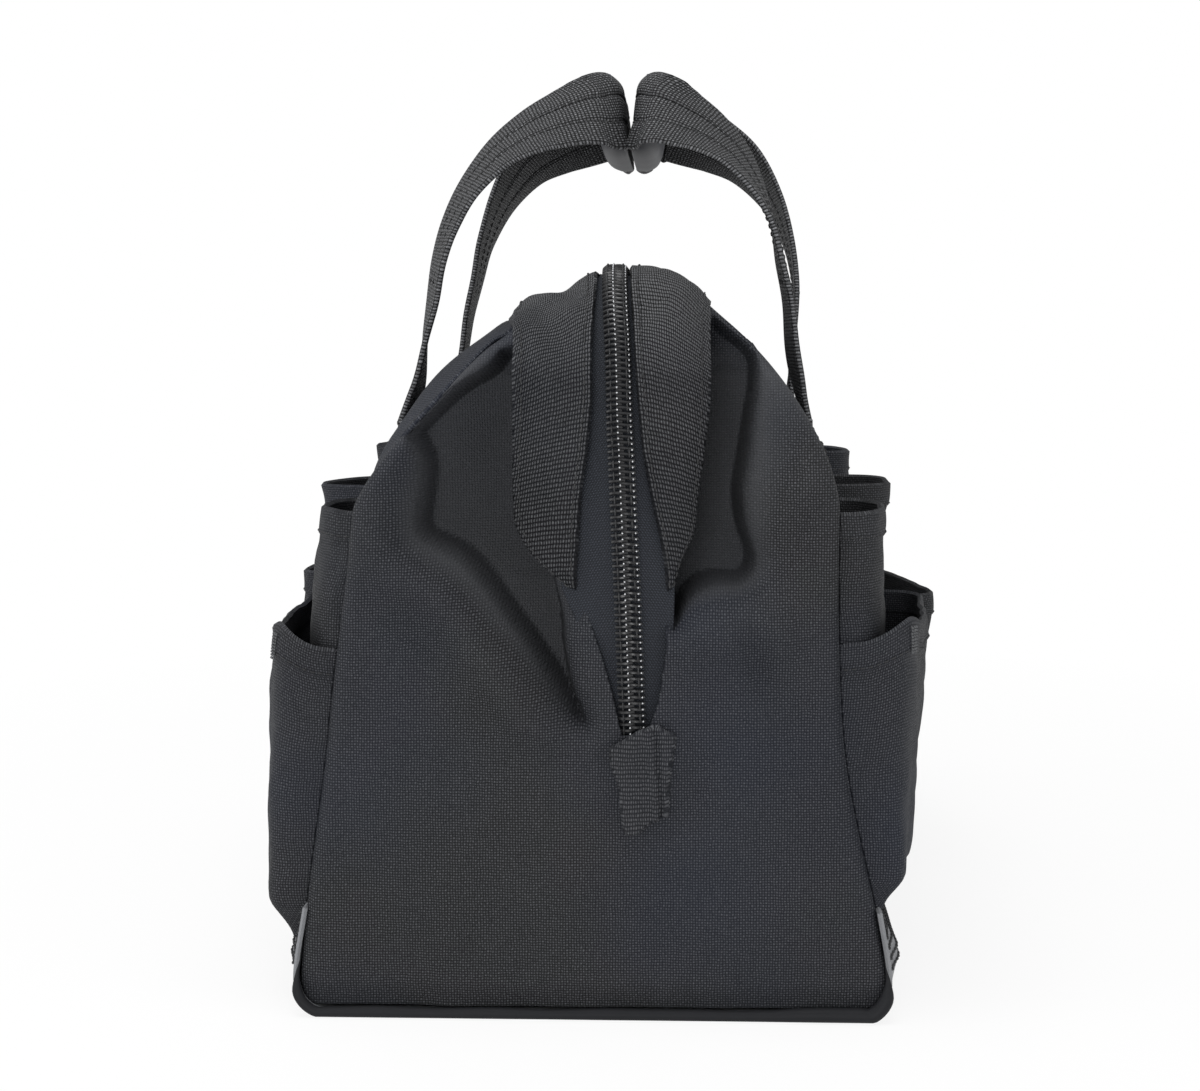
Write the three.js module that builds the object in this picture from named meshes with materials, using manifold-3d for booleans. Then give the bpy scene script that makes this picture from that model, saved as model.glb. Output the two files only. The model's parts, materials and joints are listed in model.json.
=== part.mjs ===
// A zippered tool bag: a soft woven body on a vinyl base, ten open pockets, two webbing
// handles, and a mouth whose two flaps meet at a coil zipper and fold outwards.
// Millimetres, +Z up. X runs across the bag, Y along it, and the front end faces -Y.
// The origin is on the floor under the middle of the base.
import * as THREE from "three";
import { mergeVertices } from "three/addons/utils/BufferGeometryUtils.js";
import Module from "manifold-3d";

const wasm = await Module();
wasm.setup();

// Body
const bodyLength = 300; // between the end panels
const overallWidth = 283; // across the lower pockets, where they stand out most
const baseWidth = 203;
const waistWidth = 184;
const waistHeight = 100;
const shoulderWidth = 176;
const shoulderHeight = 178; // where the flaps fold
const ridgeHeight = 264; // the closed zipper along the top
const ridgeOffset = 6; // the closed ridge leans to one side
const sideBulge = 8;
const archPower = 1.6; // 2 is an ellipse, 1 a straight roof
const baseCorner = 12;

// Cloth and sheet thicknesses, and the running gap between neighbours
const wallThickness = 3.5;
const panelThickness = 2;
const flapThickness = 2.6;
const pocketThickness = 1.8;
const hemExtra = 0.9;
const webThickness = 2.6;
const bandThickness = 1.8;
const vinylThickness = 2.2;
const gap = 0.3;

// Vinyl base
const baseBandHeight = 36;
const boardThickness = 3;
const boardMargin = 9;
const pipingRadius = 2.2;

// Ends: the gusset tucks in on each side of the zipper, above a V from tab to shoulders
const noseDepth = 62; // how far the ridge starts behind the end panel
const zipFoot = 100; // height where the zipper meets its tab
const tabOffset = 17; // the zipper's foot is off centre
const tuckDepth = 22; // the zip band's outer edge behind the end panel
const hollowDepth = 19; // the hollow beyond the band, deeper again
const hollowTop = 246;
const sliverHeight = 13; // the gusset's top is only a sliver outside the band
const reliefDepth = 3; // the flap's ends draw in beside the bands
const reliefSpan = 30; // over this height
const reliefDrop = 40; // from this far under the hollow's top

// Zipper
const tapeHalfWidth = 8.5;
const tapeThickness = 1;
const chainGap = 0.6; // half the slit between the two chains
const coilHalfWidth = 5;
const coilHeight = 2.8;
const coilPitch = 5;
const toothDepth = 0.7;

// Webbing bands beside the zipper
const bandInner = 9; // from the zipper's centre line
const bandFootDrop = 25; // the cut ends hang this far under the fold of the flap
const bandFoot = shoulderHeight - bandFootDrop;
const bandFootReach = 20;
const bandTopReach = 44;

// Zipper end tabs
const tabWidth = 18;
const tabHeight = 34;
const tabThickness = 4;

// Slider and pull
const sliderLength = 16;
const sliderWidth = 14.6;
const sliderPlate = 1.6;
const sliderNeck = 0.7;
const sliderPark = 76; // from the middle of the bag, at its rear rest
const sliderPlay = 0.5;
const bailWidth = 2.4;
const bailReach = 3.5;
const bailWire = 1.8;
const pullLength = 30;
const pullWidth = 9;
const pullThickness = 1.8;

// Pockets: each side has three upper ones between the handle straps, and two long lower ones
const upperPitch = 110;
const upperWidth = 62;
const lowerWidth = 140;
const lowerPitch = 148;
const upperDrop = 1; // the upper rims lie this far under the fold of the flap
const upperRim = shoulderHeight - upperDrop;
const upperFoot = 66;
const lowerRim = 132;
const lowerFoot = 38;
const hemHeight = 11;
const pocketGrowth = 0.45; // below 1 it swells fast over its foot
const upperSquareness = 2.6; // 2 is a D, and higher squares its ends
const lowerSquareness = 5;
const cornerLift = 11; // the outer front corner of each lower rim stands up
// How far each stands out at its rim, at its front and rear end
const upperReach = { front: [9, 15], middle: [27, 27], rear: [22, 19] };
// The same as shares of the most that any of them stands out
const lowerShares = { left_front: [0.43, 0.84], right_front: [0.57, 0.84], rear: [1, 0.62] };

// Handles
const strapWidth = 36;
const strapSpacing = 110;
const strapFoot = 62;
const hingeRise = 28; // the loop comes free this far above the fold of the flap
const hingeHeight = shoulderHeight + hingeRise;
const gripHeight = 330;
const gripLength = 84;
const gripThickness = 7;
const gripMeet = 9; // the plane where the two handles meet
const gripGap = 4 * gap; // between the two straps along their grips
const rootDrop = 3.3; // the sewn root ends this far under the fold of the loop

const halfLength = bodyLength / 2;
const panelFace = halfLength + 1.5 * gap + panelThickness;
const sides = { left: -1, right: 1 };
const ends = { front: -1, rear: 1 };

const clamp01 = (v) => Math.min(1, Math.max(0, v));
const mix = (a, b, t) => a + (b - a) * t;
const smooth = (v) => clamp01(v) ** 2 * (3 - 2 * clamp01(v));

// Materials
function finish(color, roughness, metalness = 0) {
  return new THREE.MeshStandardMaterial({ color, roughness, metalness });
}
const cloth = finish(0x24272b, 0.92);
const webbing = finish(0x1f2225, 0.85);
const zipCloth = finish(0x1d2530, 0.9);
const nylon = finish(0x1a1c1f, 0.35);
const greyVinyl = finish(0x84868b, 0.45);
const blackVinyl = finish(0x1c1d20, 0.4);
const board = finish(0x2a2b2d, 0.6);
const blackMetal = finish(0x18191b, 0.35, 0.8);

const bag = new THREE.Group();
function add(name, geometry, material) {
  const mesh = new THREE.Mesh(geometry, material);
  mesh.name = name;
  bag.add(mesh);
  return mesh;
}

// A closed geometry from points and triangles, turned so that it faces out.
function closed(points, triangles) {
  let volume = 0;
  for (const [a, b, c] of triangles) {
    volume += points[a].dot(new THREE.Vector3().crossVectors(points[b], points[c]));
  }
  const order = volume < 0 ? triangles.map(([a, b, c]) => [a, c, b]) : triangles;
  const geometry = new THREE.BufferGeometry().setFromPoints(points);
  geometry.setIndex(order.flat());
  return geometry;
}

// The cloth between an outer and an inner surface, each a function of (u, v) from 0 to 1.
function skin(outer, inner, columns, rows) {
  const points = [];
  const triangles = [];
  const layer = (columns + 1) * (rows + 1);
  for (const surface of [outer, inner]) {
    for (let j = 0; j <= rows; j++) {
      for (let i = 0; i <= columns; i++) points.push(surface(i / columns, j / rows));
    }
  }
  const at = (i, j) => j * (columns + 1) + i;
  const quad = (a, b, c, d) => triangles.push([a, b, c], [a, c, d]);
  for (let j = 0; j < rows; j++) {
    for (let i = 0; i < columns; i++) {
      const [a, b, c, d] = [at(i, j), at(i + 1, j), at(i + 1, j + 1), at(i, j + 1)];
      quad(a, b, c, d);
      quad(d + layer, c + layer, b + layer, a + layer);
    }
  }
  const edge = (a, b) => quad(b, a, a + layer, b + layer);
  for (let i = 0; i < columns; i++) {
    edge(at(i, 0), at(i + 1, 0));
    edge(at(i + 1, rows), at(i, rows));
  }
  for (let j = 0; j < rows; j++) {
    edge(at(0, j + 1), at(0, j));
    edge(at(columns, j), at(columns, j + 1));
  }
  return closed(points, triangles);
}

// The unit normal of a surface function, found from two short steps.
function normalOf(surface, u, v) {
  const step = 1e-3;
  const low = (w) => Math.max(0, w - step);
  const high = (w) => Math.min(1, w + step);
  const along = surface(high(u), v).sub(surface(low(u), v));
  const across = surface(u, high(v)).sub(surface(u, low(v)));
  return along.cross(across).normalize();
}

// Rings of points joined into a tube with flat ends.
function loft(rings, section) {
  const sides = section.length;
  const points = rings.flat();
  const triangles = [];
  for (let j = 0; j < rings.length - 1; j++) {
    for (let i = 0; i < sides; i++) {
      const [a, b] = [j * sides + i, j * sides + ((i + 1) % sides)];
      triangles.push([a, b, b + sides], [a, b + sides, a + sides]);
    }
  }
  const last = (rings.length - 1) * sides;
  const outline = section.map(([a, b]) => new THREE.Vector2(a, b));
  const turned = THREE.ShapeUtils.isClockWise(outline);
  for (const face of THREE.ShapeUtils.triangulateShape(outline, [])) {
    const [a, b, c] = turned ? [...face].reverse() : face;
    triangles.push([a, c, b], [last + a, last + b, last + c]);
  }
  return closed(points, triangles);
}

// A section swept along stations, each with a place, an across and an outward direction.
function sweep(stations, section) {
  const rings = stations.map(({ place, across, out, scale = 1 }) =>
    section.map(([a, b]) =>
      place.clone().addScaledVector(across, a).addScaledVector(out, b * scale)));
  return loft(rings, section);
}

const oblong = (left, right, low, high) => [
  [left, low],
  [right, low],
  [right, high],
  [left, high],
];

// Half the body's width at a height, through its base, waist and shoulder widths.
function halfWidth(z) {
  const known = [
    [0, baseWidth / 2],
    [waistHeight, waistWidth / 2],
    [shoulderHeight, shoulderWidth / 2],
  ];
  return known.reduce((sum, [zi, wi], i) => {
    const others = known.filter((_, j) => j !== i);
    return sum + others.reduce((share, [zj]) => (share * (z - zj)) / (zi - zj), wi);
  }, 0);
}

// The outer face of a side wall, with a distance added outwards.
function wallPoint(side, y, z, outwards = 0) {
  const swell = sideBulge * Math.sin(Math.PI * clamp01(z / shoulderHeight));
  const x = halfWidth(z) + swell * Math.max(0, 1 - (y / halfLength) ** 2) + outwards;
  return new THREE.Vector3(side * x, y, z);
}

// The closed mouth is an arch from the shoulders to the ridge.
const archRise = ridgeHeight - shoulderHeight;
const archSpan = (side) => shoulderWidth / 2 - side * ridgeOffset;
function archReach(side, z) {
  const t = clamp01((z - shoulderHeight) / archRise);
  return archSpan(side) * (1 - t ** archPower) ** (1 / archPower);
}
function archHeight(side, reach) {
  const t = clamp01(reach / archSpan(side));
  return shoulderHeight + archRise * (1 - t ** archPower) ** (1 / archPower);
}
function outlineX(side, z) {
  return z <= shoulderHeight ? side * halfWidth(z) : ridgeOffset + side * archReach(side, z);
}

// Depth of the end behind its flat plane, as a quarter ellipse from a foot to the ridge.
function ellipseInset(z, foot) {
  const t = clamp01((z - foot) / (ridgeHeight - foot));
  return noseDepth * (1 - Math.sqrt(1 - t * t));
}
const ridgeInset = (z) => ellipseInset(z, zipFoot);
const edgeInset = (z) => ellipseInset(z, shoulderHeight);
const zipCentre = (z) =>
  mix(ridgeOffset, tabOffset, clamp01((ridgeHeight - z) / (ridgeHeight - zipFoot)));

const tuckRise = 0.9 * (shoulderHeight - zipFoot);
const tuckInset = (z) => Math.max(tuckDepth * smooth((z - zipFoot) / tuckRise), edgeInset(z) + 1);
function bandReach(z) {
  if (z < bandFoot) return (bandFootReach * Math.max(0, z - zipFoot)) / (bandFoot - zipFoot);
  const t = clamp01((z - bandFoot) / (hollowTop - bandFoot));
  return mix(bandFootReach, bandTopReach, t ** 0.8);
}
function hollowInset(z) {
  const growth = smooth((z - zipFoot) / (shoulderHeight - zipFoot));
  const fade = 1 - smooth((z - shoulderHeight) / (hollowTop - shoulderHeight));
  return tuckInset(z) + hollowDepth * growth * fade;
}
// How far from the zipper the gusset's tuck reaches: to the V below, to the outline above.
function tuckReach(side, z) {
  const toEdge = Math.abs(outlineX(side, z) - zipCentre(z)) - wallThickness - 1;
  return z >= shoulderHeight ? toEdge : (toEdge * Math.max(0, z - zipFoot)) / (shoulderHeight - zipFoot);
}

// The end's depth at a distance from the zipper: band, hollow, then the outer edge.
function endInset(side, reach, z) {
  const band = bandReach(z);
  const edge = Math.max(tuckReach(side, z), band + 1);
  const hollow = mix(band, edge, 0.3);
  if (reach <= band) return mix(ridgeInset(z), tuckInset(z), reach / Math.max(band, 1e-6));
  if (reach <= hollow) {
    return mix(tuckInset(z), hollowInset(z), smooth((reach - band) / (hollow - band)));
  }
  return mix(hollowInset(z), edgeInset(z), smooth((reach - hollow) / (edge - hollow)));
}
// The same reach from a share of the way out, with steps at the folds: band, hollow, outer edge.
function foldedReach(side, z, share, outer) {
  const band = Math.max(bandReach(z), 2);
  const edge = Math.min(outer - 2, Math.max(tuckReach(side, z), band + 4));
  const stops = [0, band, mix(band, edge, 0.3), edge, outer];
  const shares = [0, 0.2, 0.4, 0.8, 1];
  const i = Math.min(3, shares.findLastIndex((stop) => stop <= share));
  return mix(stops[i], stops[i + 1], (share - shares[i]) / (shares[i + 1] - shares[i]));
}
const endPoint = (end, side, reach, z, outwards = 0) =>
  new THREE.Vector3(
    zipCentre(z) + side * reach,
    end * (panelFace - endInset(side, reach, z) + outwards),
    z,
  );

// The vinyl base: a channel with rounded lower corners, open at both ends.
function baseOutline(inset) {
  const radius = baseCorner - inset;
  const middle = baseCorner;
  const points = [];
  for (const side of [-1, 1]) {
    const corner = [];
    for (let k = 0; k <= 4; k++) {
      const angle = (k / 4) * (Math.PI / 2);
      const x = halfWidth(baseCorner) - baseCorner + radius * Math.sin(angle);
      corner.push([side * x, middle - radius * Math.cos(angle)]);
    }
    corner.push([side * (halfWidth(baseBandHeight) - inset), baseBandHeight]);
    points.push(...(side > 0 ? corner : corner.reverse()));
  }
  return points;
}
function addBase() {
  const outer = baseOutline(0);
  const inner = baseOutline(vinylThickness).reverse();
  const shape = new THREE.Shape([...outer, ...inner].map(([x, z]) => new THREE.Vector2(x, z)));
  const channel = new THREE.ExtrudeGeometry(shape, { depth: bodyLength, bevelEnabled: false });
  channel.rotateX(Math.PI / 2).translate(0, halfLength, 0);
  add("base_shell", channel, greyVinyl);

  const width = baseWidth - 2 * (boardMargin + baseCorner / 2);
  const length = bodyLength - 2 * boardMargin;
  const plan = new THREE.Shape();
  const r = baseCorner;
  plan.moveTo(-width / 2 + r, -length / 2);
  plan.lineTo(width / 2 - r, -length / 2);
  plan.absarc(width / 2 - r, -length / 2 + r, r, -Math.PI / 2, 0);
  plan.absarc(width / 2 - r, length / 2 - r, r, 0, Math.PI / 2);
  plan.absarc(-width / 2 + r, length / 2 - r, r, Math.PI / 2, Math.PI);
  plan.absarc(-width / 2 + r, -length / 2 + r, r, Math.PI, 1.5 * Math.PI);
  const slab = new THREE.ExtrudeGeometry(plan, {
    depth: boardThickness,
    bevelEnabled: false,
    curveSegments: 4,
  });
  slab.translate(0, 0, vinylThickness + gap);
  add("base_board", slab, board);
}

// Piping sewn round the lower edge of each end panel.
function addPiping(endName, end) {
  const line = baseOutline(pipingRadius);
  const y = end * (halfLength + gap + pipingRadius);
  const count = 8;
  const section = Array.from({ length: count }, (_, k) => {
    const angle = ((k + 0.5) / count) * 2 * Math.PI;
    return [pipingRadius * Math.cos(angle), pipingRadius * Math.sin(angle)];
  });
  const stations = line.map(([x, z], i) => {
    const [ax, az] = line[Math.max(0, i - 1)];
    const [bx, bz] = line[Math.min(line.length - 1, i + 1)];
    const along = new THREE.Vector3(bx - ax, 0, bz - az).normalize();
    const across = new THREE.Vector3(0, 1, 0);
    return { place: new THREE.Vector3(x, y, z), across, out: along.clone().cross(across) };
  });
  add(`piping_${endName}`, sweep(stations, section), blackVinyl);
}

// The side wall stands on the vinyl band and ends at the fold of the flap.
function addWall(sideName, side) {
  const low = baseBandHeight + gap;
  const high = shoulderHeight - gap;
  const face = (depth) => (u, v) =>
    wallPoint(side, mix(-halfLength, halfLength, u), mix(low, high, v), -depth);
  add(`side_wall_${sideName}`, skin(face(0), face(wallThickness), 12, 7), cloth);
}

// The lower end panel, with the V of its tuck, up to the fold of the flaps.
function addEndPanel(endName, end) {
  const high = shoulderHeight - gap;
  const rim = 2 * pipingRadius + 1.5 * gap;
  const radius = baseCorner - rim;
  const bandTop = baseBandHeight + 2 * gap;
  // Inside the piping as far as the vinyl band's top, and out to the wall's face above it
  const reachAt = (side, z) => {
    const drop = Math.max(0, baseCorner - z);
    const corner = radius - Math.sqrt(Math.max(0, radius ** 2 - drop ** 2));
    const tucked = rim * (1 - smooth((z - bandTop) / rim));
    return Math.abs(side * (halfWidth(z) - corner - tucked) - zipCentre(z));
  };
  const face = (depth) => (u, v) => {
    const z = v < 0.25 ? mix(rim, bandTop, (4 * v) ** 1.3) : mix(bandTop, high, (v - 0.25) / 0.75);
    const side = u < 0.5 ? -1 : 1;
    const reach = foldedReach(side, z, Math.abs(2 * u - 1), reachAt(side, z));
    return endPoint(end, side, reach, z, -depth);
  };
  add(`end_panel_${endName}`, skin(face(0), face(panelThickness), 20, 20), cloth);
}

// The gusset's upper half on one side of the zipper: it folds in behind the band.
function addGusset(endName, end, sideName, side) {
  const low = shoulderHeight + gap;
  const corner = archHeight(side, bandTopReach) - 4;
  const tuck = corner - sliverHeight;
  const face = (depth) => (u, v) => {
    const z = v < 0.85 ? mix(low, tuck, v / 0.8) : mix(tuck + 1, corner, (v - 0.9) / 0.1);
    const edge = Math.abs(outlineX(side, z) - zipCentre(z));
    const inner = v > 0.85 ? Math.min(bandTopReach + 1, edge - 1) : tapeHalfWidth + gap;
    const share = mix(0.1, 1, u);
    const reach = v > 0.85 ? mix(inner, edge, u) : Math.max(inner, foldedReach(side, z, share, edge));
    return endPoint(end, side, u === 0 ? inner : reach, z, -depth - 2 * gap);
  };
  add(
    `gusset_${endName}_${sideName}`,
    skin(face(0), face(panelThickness), 9, 10),
    cloth,
  );
}

// The upper side of the bag, from the shoulder fold to the zipper.
function addFlap(sideName, side) {
  const foot = 2 * gap;
  const face = (depth) => {
    const surface = (u, v) => {
      const reach = tapeHalfWidth + 2 * gap;
      const rise = clamp01((archHeight(side, reach) - shoulderHeight) / archRise);
      const top = Math.asin(rise ** (archPower / 2));
      const angle = v * top;
      const x = ridgeOffset + side * archSpan(side) * Math.cos(angle) ** (2 / archPower);
      const z = shoulderHeight + foot + (archRise - foot) * Math.sin(angle) ** (2 / archPower);
      const relief = reliefDepth * smooth((z - hollowTop + reliefDrop) / reliefSpan);
      const end = halfLength - edgeInset(z) - 2 * gap - relief;
      return new THREE.Vector3(x, mix(-end, end, u), z);
    };
    return (u, v) => surface(u, v).addScaledVector(normalOf(surface, u, clampInside(v)), -side * depth);
  };
  add(`flap_${sideName}`, skin(face(0), face(flapThickness), 8, 9), cloth);
}
const clampInside = (v) => Math.min(0.97, Math.max(0.03, v));

// Stations along the zipper: up one end, along the ridge and down the other.
function ridgeStations(lowZ, arcSteps, topSteps) {
  const rise = ridgeHeight - zipFoot;
  const start = Math.asin(clamp01((lowZ - zipFoot) / rise));
  const straight = panelFace - noseDepth;
  const front = [];
  for (let k = 0; k <= arcSteps; k++) {
    const angle = mix(start, Math.PI / 2, k / arcSteps);
    const z = zipFoot + rise * Math.sin(angle);
    const place = new THREE.Vector3(zipCentre(z), -(straight + noseDepth * Math.cos(angle)), z);
    const out = new THREE.Vector3(0, -Math.cos(angle) / noseDepth, Math.sin(angle) / rise);
    front.push({ place, out: out.normalize(), across: new THREE.Vector3(1, 0, 0) });
  }
  const top = [];
  for (let k = 1; k < topSteps; k++) {
    const place = new THREE.Vector3(ridgeOffset, mix(-straight, straight, k / topSteps), ridgeHeight);
    top.push({ place, out: new THREE.Vector3(0, 0, 1), across: new THREE.Vector3(1, 0, 0) });
  }
  const mirror = new THREE.Vector3(1, -1, 1);
  const rear = front.map(({ place, out, across }) => ({
    place: place.clone().multiply(mirror),
    out: out.clone().multiply(mirror),
    across,
  }));
  return { front, all: [...front, ...top, ...rear.reverse()] };
}

// One half of the zipper: its tape, and its row of teeth on top. The left half has a notch
// where the slider is parked, so that the flap can fold away from it.
const notchHalf = sliderLength / 2 + sliderPlay;
function addZipper(sideName, side) {
  const low = shoulderHeight + gap;
  const edge = side * chainGap;
  const outer = side * tapeHalfWidth;
  const tape = sweep(ridgeStations(low, 8, 2).all, oblong(edge, outer, 0, tapeThickness));
  if (side < 0) {
    const depth = sliderWidth / 2 + sliderPlay;
    const bite = new THREE.BoxGeometry(depth + 1, 2 * notchHalf, 4 * tapeThickness);
    bite.translate(ridgeOffset - (depth - 1) / 2, sliderPark, ridgeHeight);
    add(`zip_tape_${sideName}`, combined("subtract", tape, bite), zipCloth);
  } else {
    add(`zip_tape_${sideName}`, tape, zipCloth);
  }

  const arc = Math.PI * Math.sqrt((noseDepth ** 2 + (ridgeHeight - zipFoot) ** 2) / 8);
  const arcTeeth = Math.round((arc * 0.62) / coilPitch) * 2;
  const topTeeth = Math.round((2 * (panelFace - noseDepth)) / coilPitch) * 2;
  const teeth = ridgeStations(low, arcTeeth, topTeeth).all;
  teeth.forEach((station, k) => {
    station.place.addScaledVector(station.out, tapeThickness + gap / 2);
    station.scale = k % 2 ? 1 : 1 - toothDepth / coilHeight;
  });
  const foot = side * coilHalfWidth;
  const shoulder = side * (coilHalfWidth - 1.4);
  const chain = [
    [edge, 0],
    [foot, 0],
    [shoulder, coilHeight],
    [edge, coilHeight],
  ];
  const runs = { "": teeth };
  if (side < 0) {
    runs[""] = teeth.filter(({ place }) => place.y < sliderPark - notchHalf);
    runs._rear = teeth.filter(({ place }) => place.y > sliderPark + notchHalf);
  }
  for (const [tail, stations] of Object.entries(runs)) {
    add(`zip_coil_${sideName}${tail}`, sweep(stations, chain), nylon);
  }
}

// The zipper below the fold, which stays shut, and the webbing tab over its foot.
function addZipEnd(endName, end) {
  const top = shoulderHeight - gap;
  const steps = 9;
  const stations = [];
  for (let k = 0; k <= steps; k++) {
    const z = mix(zipFoot + 2, top, k / steps);
    const place = endPoint(end, 1, 0, z, 2 * gap);
    stations.push({
      place,
      across: new THREE.Vector3(1, 0, 0),
      out: new THREE.Vector3(0, end, 0),
    });
  }
  const high = tapeThickness + coilHeight;
  const section = [
    [-tapeHalfWidth, 0],
    [tapeHalfWidth, 0],
    [tapeHalfWidth, tapeThickness],
    [coilHalfWidth, tapeThickness],
    [coilHalfWidth - 1.4, high],
    [-coilHalfWidth + 1.4, high],
    [-coilHalfWidth, tapeThickness],
    [-tapeHalfWidth, tapeThickness],
  ];
  add(`zip_end_${endName}`, sweep(stations, section), nylon);

  const face = (depth) => (u, v) => {
    const z = mix(zipFoot - tabHeight, zipFoot + 1, v);
    const flare = mix(0.82, 1, v);
    const x = tabOffset + (u - 0.5) * tabWidth * flare;
    return new THREE.Vector3(x, end * (panelFace + 2 * gap + tabThickness * (1 - depth)), z);
  };
  add(`zip_tab_${endName}`, skin(face(0), face(1), 3, 3), webbing);
}

// The webbing band beside the zipper, over the flap and down over both gussets.
const bandRide = gap + 0.4;
function addBand(sideName, side) {
  const lift = 0.9;
  const lines = new Map();
  // The band's line along the bag, at a share of its width
  const lineAt = (v) => {
    if (lines.has(v)) return lines.get(v);
    const reach = mix(bandInner, bandTopReach, v);
    const brow = archHeight(side, reach);
    const points = [];
    for (const share of [0, 0.16, 0.31, 0.45, 0.59, 0.73, 0.87, 1]) {
      const z = mix(shoulderHeight + gap, brow - 3, share);
      const at = Math.min(reach, mix(bandInner, bandReach(z), v));
      points.push(endPoint(-1, side, at, z, bandRide));
    }
    const x = ridgeOffset + side * reach;
    const back = points[points.length - 1].y;
    for (const y of [back + 2, back + 12, back / 2]) points.push(new THREE.Vector3(x, y, brow + lift));
    const rear = points.map((p) => p.clone().multiply(new THREE.Vector3(1, -1, 1))).reverse();
    lines.set(v, new THREE.CatmullRomCurve3([...points, ...rear], false, "centripetal"));
    return lines.get(v);
  };
  const surface = (u, v) => lineAt(v).getPoint(u);
  const face = (depth) => (u, v) =>
    surface(u, v).addScaledVector(normalOf(surface, u, v), -side * depth);
  add(`zip_band_${sideName}`, skin(face(bandThickness), face(0), 42, 3), webbing);
}

// The band's cut end below the fold, which stays with the end of the bag.
function addBandFoot(endName, end, sideName, side) {
  const face = (depth) => (u, v) => {
    const z = mix(bandFoot, shoulderHeight - gap, v);
    return endPoint(end, side, mix(bandInner, bandReach(z), u), z, bandRide + depth);
  };
  add(`band_foot_${endName}_${sideName}`, skin(face(bandThickness), face(0), 4, 3), webbing);
}

// The slider hooks over both chains; its neck runs in the slit between them.
function addSlider() {
  const floor = ridgeHeight - gap - sliderPlate;
  const low = ridgeHeight - gap;
  const slot = ridgeHeight + tapeThickness + gap;
  const ceiling = ridgeHeight + tapeThickness + coilHeight + sliderPlay;
  const top = ceiling + sliderPlate;
  const w = sliderWidth / 2;
  const lip = coilHalfWidth + sliderPlay;
  const n = sliderNeck / 2;
  const half = [
    [w, floor],
    [w, low],
    [n, low],
    [n, ceiling],
    [lip, ceiling],
    [lip, slot],
    [w, slot],
    [w, top - 0.6],
    [w - 0.8, top],
  ];
  const outline = [...half, ...half.map(([x, z]) => [-x, z]).reverse()];
  const shape = new THREE.Shape(outline.map(([x, z]) => new THREE.Vector2(x, z)));
  const shell = new THREE.ExtrudeGeometry(shape, { depth: sliderLength, bevelEnabled: false });
  shell.rotateX(Math.PI / 2).translate(ridgeOffset, sliderPark + sliderLength / 2, 0);

  const height = 2 * bailReach - bailWire;
  const arch = new THREE.Shape();
  arch.moveTo(-bailReach, -1);
  arch.lineTo(bailReach, -1);
  arch.lineTo(bailReach, height - 2);
  arch.lineTo(bailReach - 1.4, height);
  arch.lineTo(-bailReach + 1.4, height);
  arch.lineTo(-bailReach, height - 2);
  const clear = bailReach - bailWire;
  const eye = new THREE.Path();
  eye.absarc(0, clear + 0.1, clear, 0, 2 * Math.PI, true);
  arch.holes.push(eye);
  const bail = new THREE.ExtrudeGeometry(arch, {
    depth: bailWidth,
    bevelEnabled: false,
    curveSegments: 8,
  });
  // Turn the arch so that its eye looks across the bag
  bail.rotateX(Math.PI / 2).rotateZ(Math.PI / 2);
  bail.translate(ridgeOffset - bailWidth / 2, sliderPark, top);
  add("zip_slider", combined("add", shell, bail), blackMetal);
  return top + clear + 0.1;
}

// Closed geometries added to the first one, or taken from it.
function combined(operation, ...geometries) {
  const solids = geometries.map((geometry) => {
    const bare = geometry.clone();
    bare.deleteAttribute("normal");
    bare.deleteAttribute("uv");
    const merged = mergeVertices(bare, 1e-4);
    return new wasm.Manifold(
      new wasm.Mesh({
        numProp: 3,
        vertProperties: merged.attributes.position.array,
        triVerts: new Uint32Array(merged.index.array),
      }),
    );
  });
  const mesh = solids.reduce((whole, solid) => whole[operation](solid)).getMesh();
  const geometry = new THREE.BufferGeometry();
  geometry.setAttribute("position", new THREE.BufferAttribute(mesh.vertProperties, 3));
  geometry.setIndex(new THREE.BufferAttribute(mesh.triVerts, 1));
  return geometry;
}

// The pull lies forward on the zipper, its crossbar through the bail's eye.
function addPull(pivotZ) {
  const bar = 0.85;
  const r = 2.4;
  const plan = new THREE.Shape();
  const w = pullWidth / 2;
  plan.moveTo(-w, bar);
  plan.lineTo(-w, -pullLength + r);
  plan.absarc(-w + r, -pullLength + r, r, Math.PI, 1.5 * Math.PI);
  plan.absarc(w - r, -pullLength + r, r, 1.5 * Math.PI, 2 * Math.PI);
  plan.lineTo(w, bar);
  const slot = bailWidth / 2 + 1.2;
  const reach = 2 * bailReach - 0.6;
  plan.holes.push(rectangle(-slot, slot, -reach, -bar));
  const thumb = rectangle(-w + 2.2, w - 2.2, -pullLength + 3.5, -reach - 8);
  plan.holes.push(thumb);
  const plate = new THREE.ExtrudeGeometry(plan, {
    depth: pullThickness,
    bevelEnabled: false,
    curveSegments: 3,
  });
  plate.translate(ridgeOffset, sliderPark, pivotZ - pullThickness / 2);
  add("zip_pull", plate, blackMetal);
}
function rectangle(left, right, low, high) {
  const path = new THREE.Path();
  path.moveTo(left, low);
  path.lineTo(left, high);
  path.lineTo(right, high);
  path.lineTo(right, low);
  path.closePath();
  return path;
}

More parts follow.
